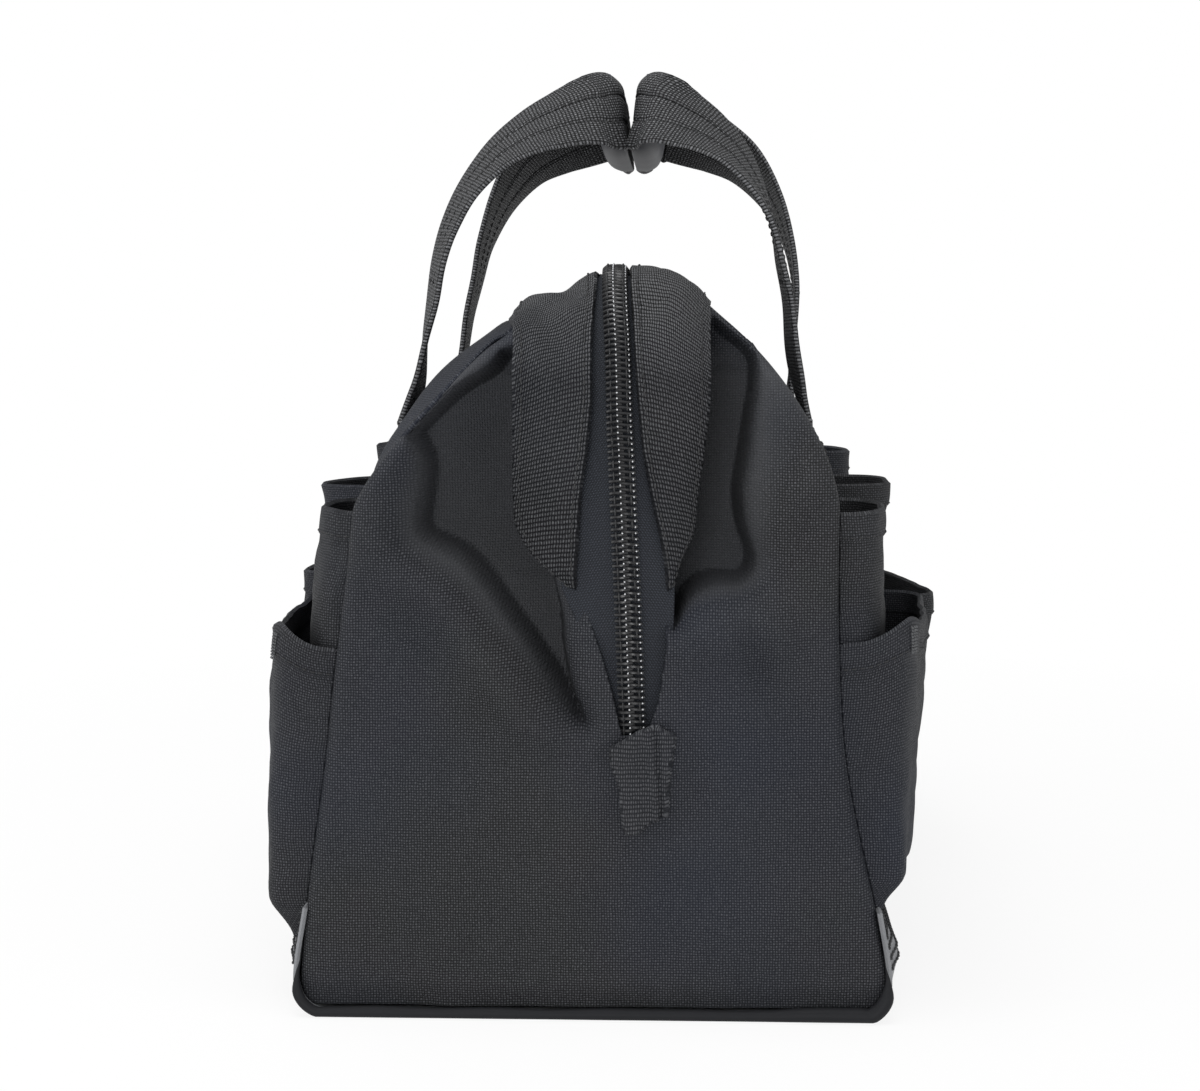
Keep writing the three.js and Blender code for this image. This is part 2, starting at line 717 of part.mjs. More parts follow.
// A pocket: a pouch that stands out from the wall and lies flat on it at its foot.
function addPocket(name, side, y, { width, foot, rim, reach, squareness, lift = 0 }) {
  const round = 2 / squareness;
  const face = (outside) => (u, v) => {
    const angle = Math.PI * u;
    const swing = Math.sin(angle) ** round;
    const along = -Math.sign(Math.cos(angle)) * Math.abs(Math.cos(angle)) ** round;
    const toRear = (1 + along) / 2;
    const hem = (1 - v) * (rim - foot) < hemHeight ? hemExtra : 0;
    const thick = outside ? pocketThickness + hem : 0;
    const run = width / 2 - (outside ? 0 : pocketThickness);
    const out = (mix(...reach, toRear) * v ** pocketGrowth + thick) * swing;
    const z = mix(foot, rim, v) + lift * (1 - toRear) ** 8 * swing * v ** 3;
    return wallPoint(side, y + run * along, z, gap + Math.max(0, out));
  };
  add(name, skin(face(true), face(false), 12, 8), cloth);
}

// The handle strap's sewn length on the wall, behind the lower pockets.
function addStrapBase(name, side, y) {
  const half = strapWidth / 2;
  const high = shoulderHeight - 3 * gap;
  const face = (depth) => (u, v) =>
    wallPoint(side, y + mix(-half, half, u), mix(strapFoot, high, v), gap + depth);
  add(name, skin(face(webThickness), face(0), 2, 5), webbing);
}

// Its last stretch, sewn on the flap, up to where the loop comes free.
function addStrapRoot(name, side, y) {
  const half = strapWidth / 2;
  const low = shoulderHeight + 5;
  const high = hingeHeight - rootDrop;
  const face = (depth) => {
    const surface = (u, v) => {
      const z = mix(low, high, v);
      return new THREE.Vector3(outlineX(side, z) + side * gap * 2, y + mix(-half, half, u), z);
    };
    return (u, v) => surface(u, v).addScaledVector(normalOf(surface, u, v), side * depth);
  };
  add(name, skin(face(webThickness), face(0), 2, 3), webbing);
}

// The free loop: up from its root, twisting to stand on edge along the grip.
// Each row: share of the way out to the hinge, along the bag, height share, twist.
const loopRows = [
  [1, 55, 0, 0],
  [0.97, 55, 0.08, 1],
  [0.93, 56, 0.18, 6],
  [0.88, 58, 0.32, 10],
  [0.8, 60, 0.56, 16],
  [0.6, 60, 0.785, 30],
  [0.385, 56, 0.92, 48],
  [0.18, 50, 0.985, 72],
  [0.03, 40, 1, 88],
  [0, 26, 1, 90],
  [0, 12, 1, 90],
];
function addHandle(sideName, side) {
  const grip = gripMeet + (side * (gripGap + webThickness)) / 2;
  const hingeX = outlineX(side, hingeHeight) + side * (2 * gap + webThickness / 2);
  const start = hingeHeight + gap;
  const scaleY = strapSpacing / 2 / loopRows[0][1];
  const rows = loopRows.map(([share, y, lift, twist]) => ({
    place: new THREE.Vector3(mix(grip, hingeX, share), -y * scaleY, mix(start, gripHeight, lift)),
    twist: (twist * Math.PI) / 180,
  }));
  const back = rows.map(({ place, twist }) => ({
    place: place.clone().multiply(new THREE.Vector3(1, -1, 1)),
    twist: Math.PI - twist,
  }));
  const all = [...rows, ...back.reverse()];
  const line = new THREE.CatmullRomCurve3(all.map((row) => row.place), false, "centripetal");
  const turn = new THREE.CatmullRomCurve3(
    all.map((row, i) => new THREE.Vector3(i, row.twist, 0)),
    false,
    "centripetal",
  );
  const count = 48;
  const stations = [];
  for (let k = 0; k <= count; k++) {
    const t = k / count;
    const place = line.getPoint(t);
    const tangent = line.getTangent(t);
    const twist = turn.getPoint(t).y;
    const flat = new THREE.Vector3(0, Math.cos(twist), Math.sin(twist));
    const across = flat.addScaledVector(tangent, -flat.dot(tangent)).normalize();
    stations.push({ place, across, out: across.clone().cross(tangent).normalize() });
  }
  const half = strapWidth / 2;
  const section = oblong(-half, half, -webThickness / 2, webThickness / 2);
  add(`handle_strap_${sideName}`, sweep(stations, section), webbing);

  // The pad on the outside of the grip, under the palm
  const shape = new THREE.Shape();
  const r = gripThickness / 2;
  const run = strapWidth / 2 - r + 0.6;
  shape.moveTo(r, -run);
  shape.absarc(0, run, r, 0, Math.PI);
  shape.absarc(0, -run, r, Math.PI, 2 * Math.PI);
  const pad = new THREE.ExtrudeGeometry(shape, {
    depth: gripLength * 0.62,
    bevelEnabled: false,
    curveSegments: 6,
  });
  pad.rotateX(Math.PI / 2);
  pad.translate(grip + side * (webThickness / 2 + gap + r), gripLength * 0.31, gripHeight);
  add(`grip_pad_${sideName}`, pad, blackVinyl);
}

addBase();
for (const [endName, end] of Object.entries(ends)) {
  addPiping(endName, end);
  addEndPanel(endName, end);
  addZipEnd(endName, end);
}
for (const [sideName, side] of Object.entries(sides)) {
  addWall(sideName, side);
  addFlap(sideName, side);
  addZipper(sideName, side);
  addBand(sideName, side);
  addHandle(sideName, side);
  for (const [endName, end] of Object.entries(ends)) {
    addGusset(endName, end, sideName, side);
    addBandFoot(endName, end, sideName, side);
    const y = (end * strapSpacing) / 2;
    addStrapBase(`strap_base_${sideName}_${endName}`, side, y);
    addStrapRoot(`strap_root_${sideName}_${endName}`, side, y);
  }
  for (const [place, y] of Object.entries({ front: -upperPitch, middle: 0, rear: upperPitch })) {
    // The middle one ends above the seam between the two lower pockets
    const foot = place === "middle" ? lowerRim + 2 : upperFoot;
    const form = { width: upperWidth, foot, rim: upperRim, squareness: upperSquareness };
    form.reach = upperReach[place];
    addPocket(`pocket_upper_${sideName}_${place}`, side, y, form);
  }
  const skinOut = gap + pocketThickness + hemExtra;
  const stand = overallWidth / 2 - wallPoint(side, 0, lowerRim).x * side - skinOut;
  for (const [place, end] of Object.entries(ends)) {
    const form = { width: lowerWidth, foot: lowerFoot, rim: lowerRim, squareness: lowerSquareness };
    const shares = lowerShares[place] ?? lowerShares[`${sideName}_${place}`];
    form.reach = shares.map((share) => share * stand);
    form.lift = place === "front" ? cornerLift : 0;
    addPocket(`pocket_lower_${sideName}_${place}`, side, (end * lowerPitch) / 2, form);
  }
}
const pivot = addSlider();
addPull(pivot);

export default bag;
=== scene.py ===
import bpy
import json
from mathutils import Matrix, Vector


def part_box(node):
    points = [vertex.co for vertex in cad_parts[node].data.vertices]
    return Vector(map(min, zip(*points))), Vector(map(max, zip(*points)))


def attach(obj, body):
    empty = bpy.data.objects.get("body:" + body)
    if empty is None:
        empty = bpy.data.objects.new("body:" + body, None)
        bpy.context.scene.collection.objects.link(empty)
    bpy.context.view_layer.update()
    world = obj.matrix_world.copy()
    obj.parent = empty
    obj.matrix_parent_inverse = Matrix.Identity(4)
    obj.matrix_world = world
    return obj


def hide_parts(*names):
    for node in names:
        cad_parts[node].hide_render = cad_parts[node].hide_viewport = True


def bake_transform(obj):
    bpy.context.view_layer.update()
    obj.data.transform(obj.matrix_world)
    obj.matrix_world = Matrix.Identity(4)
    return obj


bl_info = {
    "name": "Zippered tool bag",
    "version": (1, 0, 0),
    "blender": (4, 5, 0),
    "location": "3D View > Sidebar > Tool bag",
    "description": "Builds a soft tool bag with pockets, a coil zipper and webbing handles",
    "category": "Add Mesh",
}

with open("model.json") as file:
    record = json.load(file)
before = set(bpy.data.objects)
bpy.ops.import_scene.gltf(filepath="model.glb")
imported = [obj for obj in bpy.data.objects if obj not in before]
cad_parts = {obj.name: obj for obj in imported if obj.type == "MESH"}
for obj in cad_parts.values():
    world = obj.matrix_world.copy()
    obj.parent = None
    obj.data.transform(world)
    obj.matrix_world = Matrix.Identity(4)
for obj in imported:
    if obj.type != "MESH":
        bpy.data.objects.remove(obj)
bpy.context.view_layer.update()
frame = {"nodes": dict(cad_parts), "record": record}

import json
import math
from collections import namedtuple

import bpy
import numpy as np
from bpy.props import FloatProperty, FloatVectorProperty, PointerProperty
from mathutils import Vector

MM = 0.001
ENDS = {"front": -1, "rear": 1}
SIDES = {"left": -1, "right": 1}
# Each end's cloth has an unevenness of its own
END_SEEDS = {-1: 3, 1: 11}
JOINTS = {joint["name"]: joint for joint in frame["record"]["behaviour"]["joints"]}

# Body sizes in millimetres, fitted to the part's solids
END_FACE = 152.45
SHOULDER_Z = 178
SHOULDER_X = 88
RIDGE_Z = 264
RIDGE_X = 6
NOSE = 62
ZIP_FOOT = 100
WAIST_Z = 100
WAIST_X = 92
BASE_X = 101.5
HALF_LENGTH = 150
CORNER = 6
BASE_CORNER = 12
# How fully the mouth arches, and less so at its drawn-in corner on the left
ARCH = 1.6
DRAWN_ARCH = 1.26
# How far along the bag the brow stands, where the top's swell runs over onto an end
BROW_Y = 110
# Room between two sheets of cloth that meet
CLEAR = 0.2
# Rows of an end: its foot over the piping and its top under the band
END_FOOT = 3.5
END_TOP = 256.5
# Heights over which the ends and the ridge give when the mouth opens, and the flaps and straps
MOVE_FROM = 150
MOVE_TO = 215
FOLD_FROM = SHOULDER_Z - 8
FOLD_TO = SHOULDER_Z + 24
# Where the handles' webbing comes free of the bag, and over which heights it folds there
HINGE_Z = 206
HANDLE_FROM = 203
HANDLE_TO = 212


class BagSizes(bpy.types.PropertyGroup):
    """Sizes of the cloth, webbing and zipper."""

    cloth: FloatProperty(name="Cloth", description="Thickness of the body cloth",
                         default=0.0014, unit="LENGTH")
    thread: FloatProperty(name="Thread pitch", description="Distance between the cloth's threads",
                          default=0.00096, precision=5, unit="LENGTH")
    rib: FloatProperty(name="Rib pitch", description="Distance between the webbing's ribs",
                       default=0.00165, precision=5, unit="LENGTH")
    webbing: FloatProperty(name="Webbing", description="Thickness of the webbing",
                           default=0.0024, unit="LENGTH")
    strap: FloatProperty(name="Strap width", description="Width of the handle webbing",
                         default=0.037, unit="LENGTH")
    tooth: FloatProperty(name="Tooth pitch", description="Distance between two teeth of the coil",
                         default=0.0021, precision=5, unit="LENGTH")
    hem: FloatProperty(name="Hem", description="Height of the folded hem on each pocket",
                       default=0.0095, unit="LENGTH")


def tint(name, description, value):
    """A colour that the user can change."""
    return FloatVectorProperty(name=name, description=description, default=value,
                               subtype="COLOR", min=0, max=1)


class BagColours(bpy.types.PropertyGroup):
    """Colours of the bag's materials."""

    cloth: tint("Cloth", "Woven body cloth", (0.0245, 0.0252, 0.0272))
    webbing: tint("Webbing", "Handles and bands", (0.0225, 0.0229, 0.0240))
    tape: tint("Zipper tape", "Twill beside the teeth", (0.0205, 0.0230, 0.0285))
    coil: tint("Coil", "Nylon teeth", (0.019, 0.0192, 0.0205))
    vinyl: tint("Base vinyl", "Coated base", (0.19, 0.195, 0.205))
    piping: tint("Piping", "Edging of the base", (0.015, 0.0155, 0.0175))
    grip: tint("Grip", "Smooth pad on the outside of the grips", (0.070, 0.072, 0.080))
    metal: tint("Slider", "Painted slider and pull", (0.025, 0.025, 0.027))
    thread: tint("Thread", "Sewing thread", (0.020, 0.0205, 0.022))
    # Painted highlight: a pale colour for dashes that stand for light on the coil's loops
    glint: tint("Glint", "Bright loops of the coil", (0.62, 0.63, 0.65))
    tack: tint("Bartack", "Reinforcing stitches", (0.10, 0.103, 0.108))


def smooth(t):
    """An even step from 0 to 1, level at both ends."""
    t = np.clip(t, 0, 1)
    return t * t * (3 - 2 * t)


def mix(a, b, t):
    return a + (b - a) * t


def along(value, *stops):
    """Straight runs between stops, each a place and its value."""
    return np.interp(value, [s[0] for s in stops], [s[1] for s in stops])


def hill(x, centre, width):
    """A rounded bump of height 1."""
    return np.exp(-(((x - centre) / width) ** 2))


def ripple(a, b, pitch, seed, count=7):
    """Smooth unevenness of about -1 to 1, with no direction of its own."""
    rng = np.random.default_rng(seed)
    total = 0 * (a + b)
    for _ in range(count):
        turn = rng.uniform(0, math.pi)
        wave = 2 * math.pi / (pitch * rng.uniform(0.7, 1.5))
        total = total + np.sin(wave * (math.cos(turn) * a + math.sin(turn) * b)
                               + rng.uniform(0, 2 * math.pi))
    return total / count ** 0.5 / 1.2


# The body's form


def half_width(z):
    """Half the body's width at a height, through its base, waist and shoulder."""
    known = ((0, BASE_X), (WAIST_Z, WAIST_X), (SHOULDER_Z, SHOULDER_X))
    total = 0
    for i, (zi, wi) in enumerate(known):
        share = wi
        for j, (zj, _) in enumerate(known):
            if j != i:
                share = share * (z - zj) / (zi - zj)
        total = total + share
    return total + 4.3 * smooth((WAIST_Z - z) / 80)


def lean(y, z):
    """The front end stands a little askew at its waist."""
    sway = smooth((110 - z) / 80) - 3.6 * np.sin(np.pi * np.clip(z / SHOULDER_Z, 0, 1))
    return sway * smooth((-y - 30) / 115)


def pinch(side, y, z):
    """The front end is drawn in, more on the left, fading towards the ridge."""
    amount = 4.8 if side < 0 else 1.6
    rise = np.clip(z / SHOULDER_Z, 0, 1) ** 0.75
    return -side * amount * rise * smooth((-y - 84) / 60) * smooth((262 - z) / 50)


def wall_x(side, y, z):
    """Where a side wall stands across the bag."""
    belly = 8 * np.sin(np.pi * np.clip(z / SHOULDER_Z, 0, 1))
    belly = belly * np.maximum(0, 1 - (y / HALF_LENGTH) ** 2)
    return side * (half_width(z) + belly) + lean(y, z) + pinch(side, y, z)


def arch_power(side, y):
    """The mouth's front corner on the left is drawn in; the rest is a fuller arch."""
    drawn = smooth((np.abs(y) - 78) / 70)
    return mix(ARCH, DRAWN_ARCH, drawn) if side < 0 else ARCH + 0 * y


def arch_reach(side, y, z):
    """How far the arch of the mouth reaches from the ridge at a height."""
    power = arch_power(side, y)
    t = np.clip((z - SHOULDER_Z) / (RIDGE_Z - SHOULDER_Z), 0, 1)
    return (SHOULDER_X - side * RIDGE_X) * (1 - t ** power) ** (1 / power)


def arch_z(side, y, reach):
    """The height of the arch at a reach from the ridge."""
    power = arch_power(side, y)
    t = np.clip(reach / (SHOULDER_X - side * RIDGE_X), 0, 1)
    return SHOULDER_Z + (RIDGE_Z - SHOULDER_Z) * (1 - t ** power) ** (1 / power)


def outline_x(side, y, z):
    """The bag's outline across: the wall up to the shoulder and the arch above."""
    return np.where(z <= SHOULDER_Z, wall_x(side, y, z),
                    RIDGE_X + side * arch_reach(side, y, z) + pinch(side, y, z))


def inset(z, foot):
    """How far an end falls back from its foot up to the ridge."""
    t = np.clip((z - foot) / (RIDGE_Z - foot), 0, 1)
    return NOSE * (1 - np.sqrt(1 - t * t))


def zip_x(z):
    """Where the zipper's middle lies across, as it wanders from its foot to the ridge."""
    return along(z, (ZIP_FOOT, 15.9), (146, 14.1), (198, 11.4), (RIDGE_Z, RIDGE_X))


# How far the zipper tape shows at each height: widest just under the band's end
TAPE_EDGES = {
    -1: ((100, 5), (103, 5.8), (115, 8.2), (126, 11), (140, 15.3), (150, 19.5), (154, 20), (160, 19),
         (181, 16.8), (198, 13.6), (216, 10.7), (236, 9.6), (264, 7)),
    1: ((100, 4), (103, 5), (112, 8.7), (129, 11.8), (147, 13), (155, 13.5), (167, 12), (181, 9.6),
        (198, 7), (216, 6.5), (264, 6.4)),
}
# How far the webbing band reaches; its lower end slants back to the tape
BAND_EDGES = {
    -1: ((100, 12), (140, 18), (150, 20.4), (153, 25.2), (163, 35.6), (172, 40), (191, 39.6),
         (216, 37.1), (236, 35.6), (250, 36.5), (264, 38)),
    1: ((100, 12), (150, 14.4), (160, 17.5), (170, 23.4), (181, 24.6), (198, 27.7), (216, 30.9),
        (236, 32.6), (250, 34), (264, 35.5)),
}


def tape_edge(side, z):
    return along(z, *TAPE_EDGES[side])


def band_edge(side, z):
    return along(z, *BAND_EDGES[side])


# Outlines of the deep hollow beside each band: across, up, and how roundly the cloth rolls in
HOLLOWS = {
    -1: ((-32.7, 234, 4), (-37.8, 227.6, 5), (-49.2, 220.6, 5), (-61.4, 208.7, 5), (-64.9, 204, 6),
         (-61.1, 194.9, 10), (-61.1, 185.2, 13), (-62.8, 174, 13), (-61.6, 167.6, 13),
         (-54.5, 163.5, 14), (-47, 159, 14), (-39, 150.5, 14), (-31, 139.5, 14),
         (-22, 127.6, 14), (-14.2, 116.4, 14), (-9, 109.5, 13), (-4.4, 104.6, 11), (-2.6, 104.6, 9),
         (-3.4, 108.2, 8), (-6.6, 115.9, 8), (-8.9, 127.9, 8), (-10.1, 139.8, 8),
         (-12.6, 150.3, 6), (-16, 168, 3), (-18, 190, 3), (-20, 215, 3), (-24, 236, 3)),
    1: ((43.6, 245, 2), (48.4, 240.7, 3), (57, 233.3, 3), (58.5, 222.7, 7), (56.5, 208.9, 12),
        (54.4, 194.9, 13), (52.6, 183.4, 13), (53.7, 171.9, 13), (57.2, 161.1, 13), (55.6, 153.8, 12),
        (51, 150.6, 11), (44.5, 150.6, 11), (38, 149.2, 11), (32.8, 144.5, 9), (28.8, 136.6, 5),
        (24, 146, 1.5), (27, 156, 1.5), (30.5, 167, 2), (33, 176.5, 2), (35, 191.4, 2),
        (36.8, 206.8, 2), (37.3, 220.6, 2), (38, 243, 2)),
}
# How far back the hollow lies at each height
HOLLOW_DEPTH = ((100, 17), (108, 23), (120, 27), (150, 29), (205, 29), (225, 25), (243, 12))
# Folds in the cloth of the right half: how far they stand out, from and to across and up, width
RIGHT_FOLDS = (
    (3.5, (58, 152), (74, 118), 6),
    (-2.4, (52, 140), (62, 112), 4),
    (2.6, (55, 161), (84, 194), 6),
)


def hollow_field(side, x, z):
    """How far a point lies inside the hollow's outline, negative outside, and the roll there."""
    outline = spline(HOLLOWS[side], 64)
    x, z = np.broadcast_arrays(x, z)
    nearest = np.full(x.shape, np.inf)
    roll = np.zeros(x.shape)
    inside = np.zeros(x.shape, bool)
    for (ax, az, ar), (bx, bz, br) in zip(outline, np.roll(outline, -1, 0)):
        dx, dz = bx - ax, bz - az
        t = np.clip(((x - ax) * dx + (z - az) * dz) / (dx * dx + dz * dz), 0, 1)
        gap = np.hypot(x - ax - t * dx, z - az - t * dz)
        closer = gap < nearest
        nearest = np.where(closer, gap, nearest)
        roll = np.where(closer, mix(ar, br, t), roll)
        inside ^= ((az > z) != (bz > z)) & (x < ax + (z - az) * dx / (dz or 1e-9))
    return np.where(inside, nearest, -nearest), roll


def fold_line(x, z, a, b, width):
    """A soft fold along a straight line from a to b, 1 on the line."""
    dx, dz = b[0] - a[0], b[1] - a[1]
    t = np.clip(((x - a[0]) * dx + (z - a[1]) * dz) / (dx * dx + dz * dz), 0, 1)
    gap = np.hypot(x - a[0] - t * dx, z - a[1] - t * dz)
    return hill(gap, 0, width) * np.sin(np.pi * (0.1 + 0.8 * t))


def end_reach(side, z):
    """How far an end reaches from the zipper to its outline."""
    return side * (outline_x(side, -HALF_LENGTH + 0 * z, z) - zip_x(z))


def tuck_depth(z):
    """How far back the cloth lies behind the band's outer edge."""
    deepest = np.maximum(13 * smooth((z - 118) / 62), inset(z, SHOULDER_Z) + 1)
    return deepest * smooth((z - ZIP_FOOT) / 40)


def band_depth(z, reach, band):
    """How far back the cloth lies between the zipper and the band's outer edge."""
    return mix(inset(z, ZIP_FOOT), tuck_depth(z), np.clip(reach / band, 0, 1) ** 1.5)


def hollowed(depth, side, x, z, reach, band):
    """The depth with the hollow beside the band, and the folds in the cloth round it."""
    field, roll = hollow_field(side, x, z)
    # It is deepest behind the band
    full = along(z, *HOLLOW_DEPTH) * (1 + 0.12 * smooth(1 - (reach - band) / 34))
    roll = np.minimum(roll, 0.8 * full)
    over = np.clip(roll + field, 0, roll)
    lip = roll - np.sqrt(np.maximum(roll ** 2 - over ** 2, 0))
    depth = depth + np.where(field > 0, roll + (full - roll) * smooth(field / 4 + 0.12), lip)
    if side < 0:
        outer = smooth((roll - 8.2) / 2.5)
        crest = hill(field, -13, 8) * smooth((186 - z) / 22) * smooth((z - 90) / 14)
        furrow = hill(field, -26, 6) * smooth((176 - z) / 22) * smooth((z - 92) / 14)
        return depth - 3.6 * crest * outer + 1.6 * furrow * outer
    depth = depth - 6.5 * hill(x, 45, 17) * hill(z, 136, 12)
    for height, start, stop, width in RIGHT_FOLDS:
        depth = depth - height * fold_line(x, z, start, stop, width)
    return depth


def end_depth(side, x, z, seed):
    """How far the cloth of an end lies behind the flat plane through its lower edge."""
    reach = side * (x - zip_x(z))
    edge = np.maximum(end_reach(side, z), 0.5)
    band = np.minimum(band_edge(side, z), edge)
    outer = smooth((reach - band) / np.maximum(edge - band, 0.5))
    far = mix(tuck_depth(z), inset(z, SHOULDER_Z), outer)
    depth = np.where(reach <= band, band_depth(z, reach, band), far)
    depth = hollowed(depth, side, x, z, reach, band)
    # The filled lower panel bulges, and the cloth is never quite flat
    bulge = 3.4 * np.sin(np.pi * np.clip((z - 4) / 128, 0, 1))
    depth = depth - bulge * (1 - np.clip(reach / edge, 0, 1) ** 2)
    quiet = smooth((edge - reach) / 14) * smooth(reach / 10)
    depth = depth + (0.55 * ripple(x, z, 46, seed) + 0.22 * ripple(x, z, 17, seed + 1)) * quiet
    # The edge rolls round to the side, and the foot draws in over the piping
    left = np.clip(edge - reach, 0, CORNER)
    depth = depth + CORNER - np.sqrt(np.maximum(CORNER ** 2 - (CORNER - left) ** 2, 0))
    return depth + 1.6 * (1 - smooth((z - 4) / 9))


def top_swell(side, reach, y):
    """The right band stands up over the brow at the front; the left one dips at both its edges."""
    weight = 0.35 + 0.65 * smooth((-y - 20) / 60)
    if side > 0:
        return 4.5 * hill(reach, 23, 10) * weight
    return -(5.5 * hill(reach, 19, 11) + 2.5 * hill(reach, 39, 4)) * weight


def brow_rise(side, reach, y, z):
    """How much of the top's swell runs down over the brow of an end."""
    return top_swell(side, reach, y) * smooth((z - 228) / 26)


def end_points(end, side, x, z, lift=0):
    """Points on an end, lifted off its cloth."""
    y = end * (END_FACE - end_depth(side, x, z, END_SEEDS[end]) + lift)
    rise = brow_rise(side, side * (x - RIDGE_X), end * BROW_Y, z)
    return np.stack(np.broadcast_arrays(x, y, z + rise), -1)


def end_normals(end, side, x, z):
    step = 0.25
    seed = END_SEEDS[end]
    across = end_depth(side, x + step, z, seed) - end_depth(side, x - step, z, seed)
    up = end_depth(side, x, z + step, seed) - end_depth(side, x, z - step, seed)
    return unit(np.stack(np.broadcast_arrays(across / (2 * step), end, up / (2 * step)), -1))


# Meshes


def unit(vectors):
    return vectors / np.maximum(np.linalg.norm(vectors, axis=-1, keepdims=True), 1e-9)


def grid_normals(points):
    """Normals of a grid of points, by the order of its rows and columns."""
    return unit(np.cross(np.gradient(points, axis=1), np.gradient(points, axis=0)))


def run_lengths(points, axis):
    """Length run so far at each point along an axis of a grid or line."""
    steps = np.linalg.norm(np.diff(points, axis=axis), axis=-1)
    start = np.zeros_like(np.take(steps, [0], axis=axis))
    return np.concatenate([start, np.cumsum(steps, axis=axis)], axis=axis)


def cloth_uv(points):
    """Lengths along the cloth in metres, from the middle of each row and up each column."""
    rows = run_lengths(points, 1)
    middle = rows[:, rows.shape[1] // 2][:, None]
    up = run_lengths(points, 0)
    return np.stack([rows - middle, np.broadcast_to(up.mean(1, keepdims=True), up.shape)], -1) * MM


def raw_mesh(name, vertices, faces, uv, normals=None):
    """An object from vertices, lists of each face's corners, UVs and, where given, normals."""
    mesh = bpy.data.meshes.new(name)
    mesh.from_pydata(vertices * MM, [], faces)
    layer = mesh.uv_layers.new(name="Cloth")
    index = np.zeros(len(mesh.loops), dtype=np.int32)
    mesh.loops.foreach_get("vertex_index", index)
    layer.data.foreach_set("uv", uv[index].astype(np.float32).ravel())
    mesh.shade_smooth()
    mesh.set_sharp_from_angle(angle=math.radians(48))
    if normals is not None:
        mesh.normals_split_custom_set_from_vertices(normals)
    obj = bpy.data.objects.new(name, mesh)
    bpy.context.collection.objects.link(obj)
    return obj


def sheet_parts(points, thickness, facing, uv=None, normals=None):
    """Vertices, faces, UVs and normals of a sheet of cloth with rounded rims."""
    rows, columns = points.shape[:2]
    out = grid_normals(points)
    flip = np.sum(out * np.asarray(facing, float)) < 0
    if flip:
        out = -out
    uv = cloth_uv(points) if uv is None else uv
    inner = points - out * np.broadcast_to(thickness, (rows, columns))[..., None]
    number = np.arange(rows * columns).reshape(rows, columns)
    quads = np.stack([number[:-1, :-1], number[:-1, 1:], number[1:, 1:], number[1:, :-1]], -1)
    quads = quads.reshape(-1, 4)
    count = rows * columns
    border = np.concatenate([number[0, :-1], number[:-1, -1], number[-1, :0:-1], number[:0:-1, 0]])
    r, c = np.divmod(border, columns)
    flat = points.reshape(-1, 3)
    back = flat[np.clip(r, 1, rows - 2) * columns + np.clip(c, 1, columns - 2)]
    wall = np.broadcast_to(thickness, (rows, columns)).reshape(-1)[border][:, None]
    middle = (flat[border] + inner.reshape(-1, 3)[border]) / 2 + unit(flat[border] - back) * wall * 0.4
    ring = 2 * count + np.arange(len(border))
    after = np.roll(ring, -1)
    nxt = np.roll(border, -1)
    faces = np.concatenate([
        quads,
        quads[:, ::-1] + count,
        np.stack([nxt, border, ring, after], -1),
        np.stack([after, ring, border + count, nxt + count], -1),
    ])
    if flip:
        faces = faces[:, ::-1]
    vertices = np.concatenate([flat, inner.reshape(-1, 3), middle])
    flat_uv = uv.reshape(-1, 2)
    uvs = np.concatenate([flat_uv, flat_uv, flat_uv[border]])
    custom = None
    if normals is not None:
        custom = np.zeros_like(vertices)
        custom[:count] = normals.reshape(-1, 3)
    return vertices, faces.tolist(), uvs, custom


def tube_parts(rings, across):
    """A closed tube from rings of points; across is each ring point's place over the width."""
    count, sides = rings.shape[:2]
    number = np.arange(count * sides).reshape(count, sides)
    turned = np.roll(number, -1, axis=1)
    faces = np.stack([number[:-1], turned[:-1], turned[1:], number[1:]], -1).reshape(-1, 4).tolist()
    faces += [number[0, ::-1].tolist(), number[-1].tolist()]
    length = run_lengths(rings.mean(1), 0)
    uv = np.stack([np.broadcast_to(across, (count, sides)),
                   np.broadcast_to(length[:, None], (count, sides))], -1) * MM
    return rings.reshape(-1, 3), faces, uv.reshape(-1, 2), None


def piece(name, *parts):
    """One object from the parts of one or more sheets or tubes."""
    vertices, faces, uvs, normals = [], [], [], []
    start = 0
    for points, corners, uv, normal in parts:
        vertices.append(points)
        faces += [[corner + start for corner in face] for face in corners]
        uvs.append(uv)
        normals.append(np.zeros_like(points) if normal is None else normal)
        start += len(points)
    given = any(part[3] is not None for part in parts)
    return raw_mesh(name, np.concatenate(vertices), faces, np.concatenate(uvs),
                    np.concatenate(normals) if given else None)


def at_lengths(places, measure, line):
    """Points at given lengths along a line whose own lengths are in measure."""
    return np.stack([np.interp(places, measure, line[:, k]) for k in range(3)], -1)


def resample(points, count):
    """Points spaced evenly along a polyline."""
    length = run_lengths(points, 0)
    return at_lengths(np.linspace(0, length[-1], count), length, points)


def relax(points, window):
    """A polyline with its corners rounded, ends kept."""
    weights = np.hanning(window + 2)[1:-1]
    weights /= weights.sum()
    pad = window // 2
    before = 2 * points[:1] - points[pad:0:-1]
    after = 2 * points[-1:] - points[-2:-pad - 2:-1]
    padded = np.concatenate([before, points, after])
    return np.stack([np.convolve(padded[:, k], weights, "same")[pad:pad + len(points)]
                     for k in range(3)], -1)


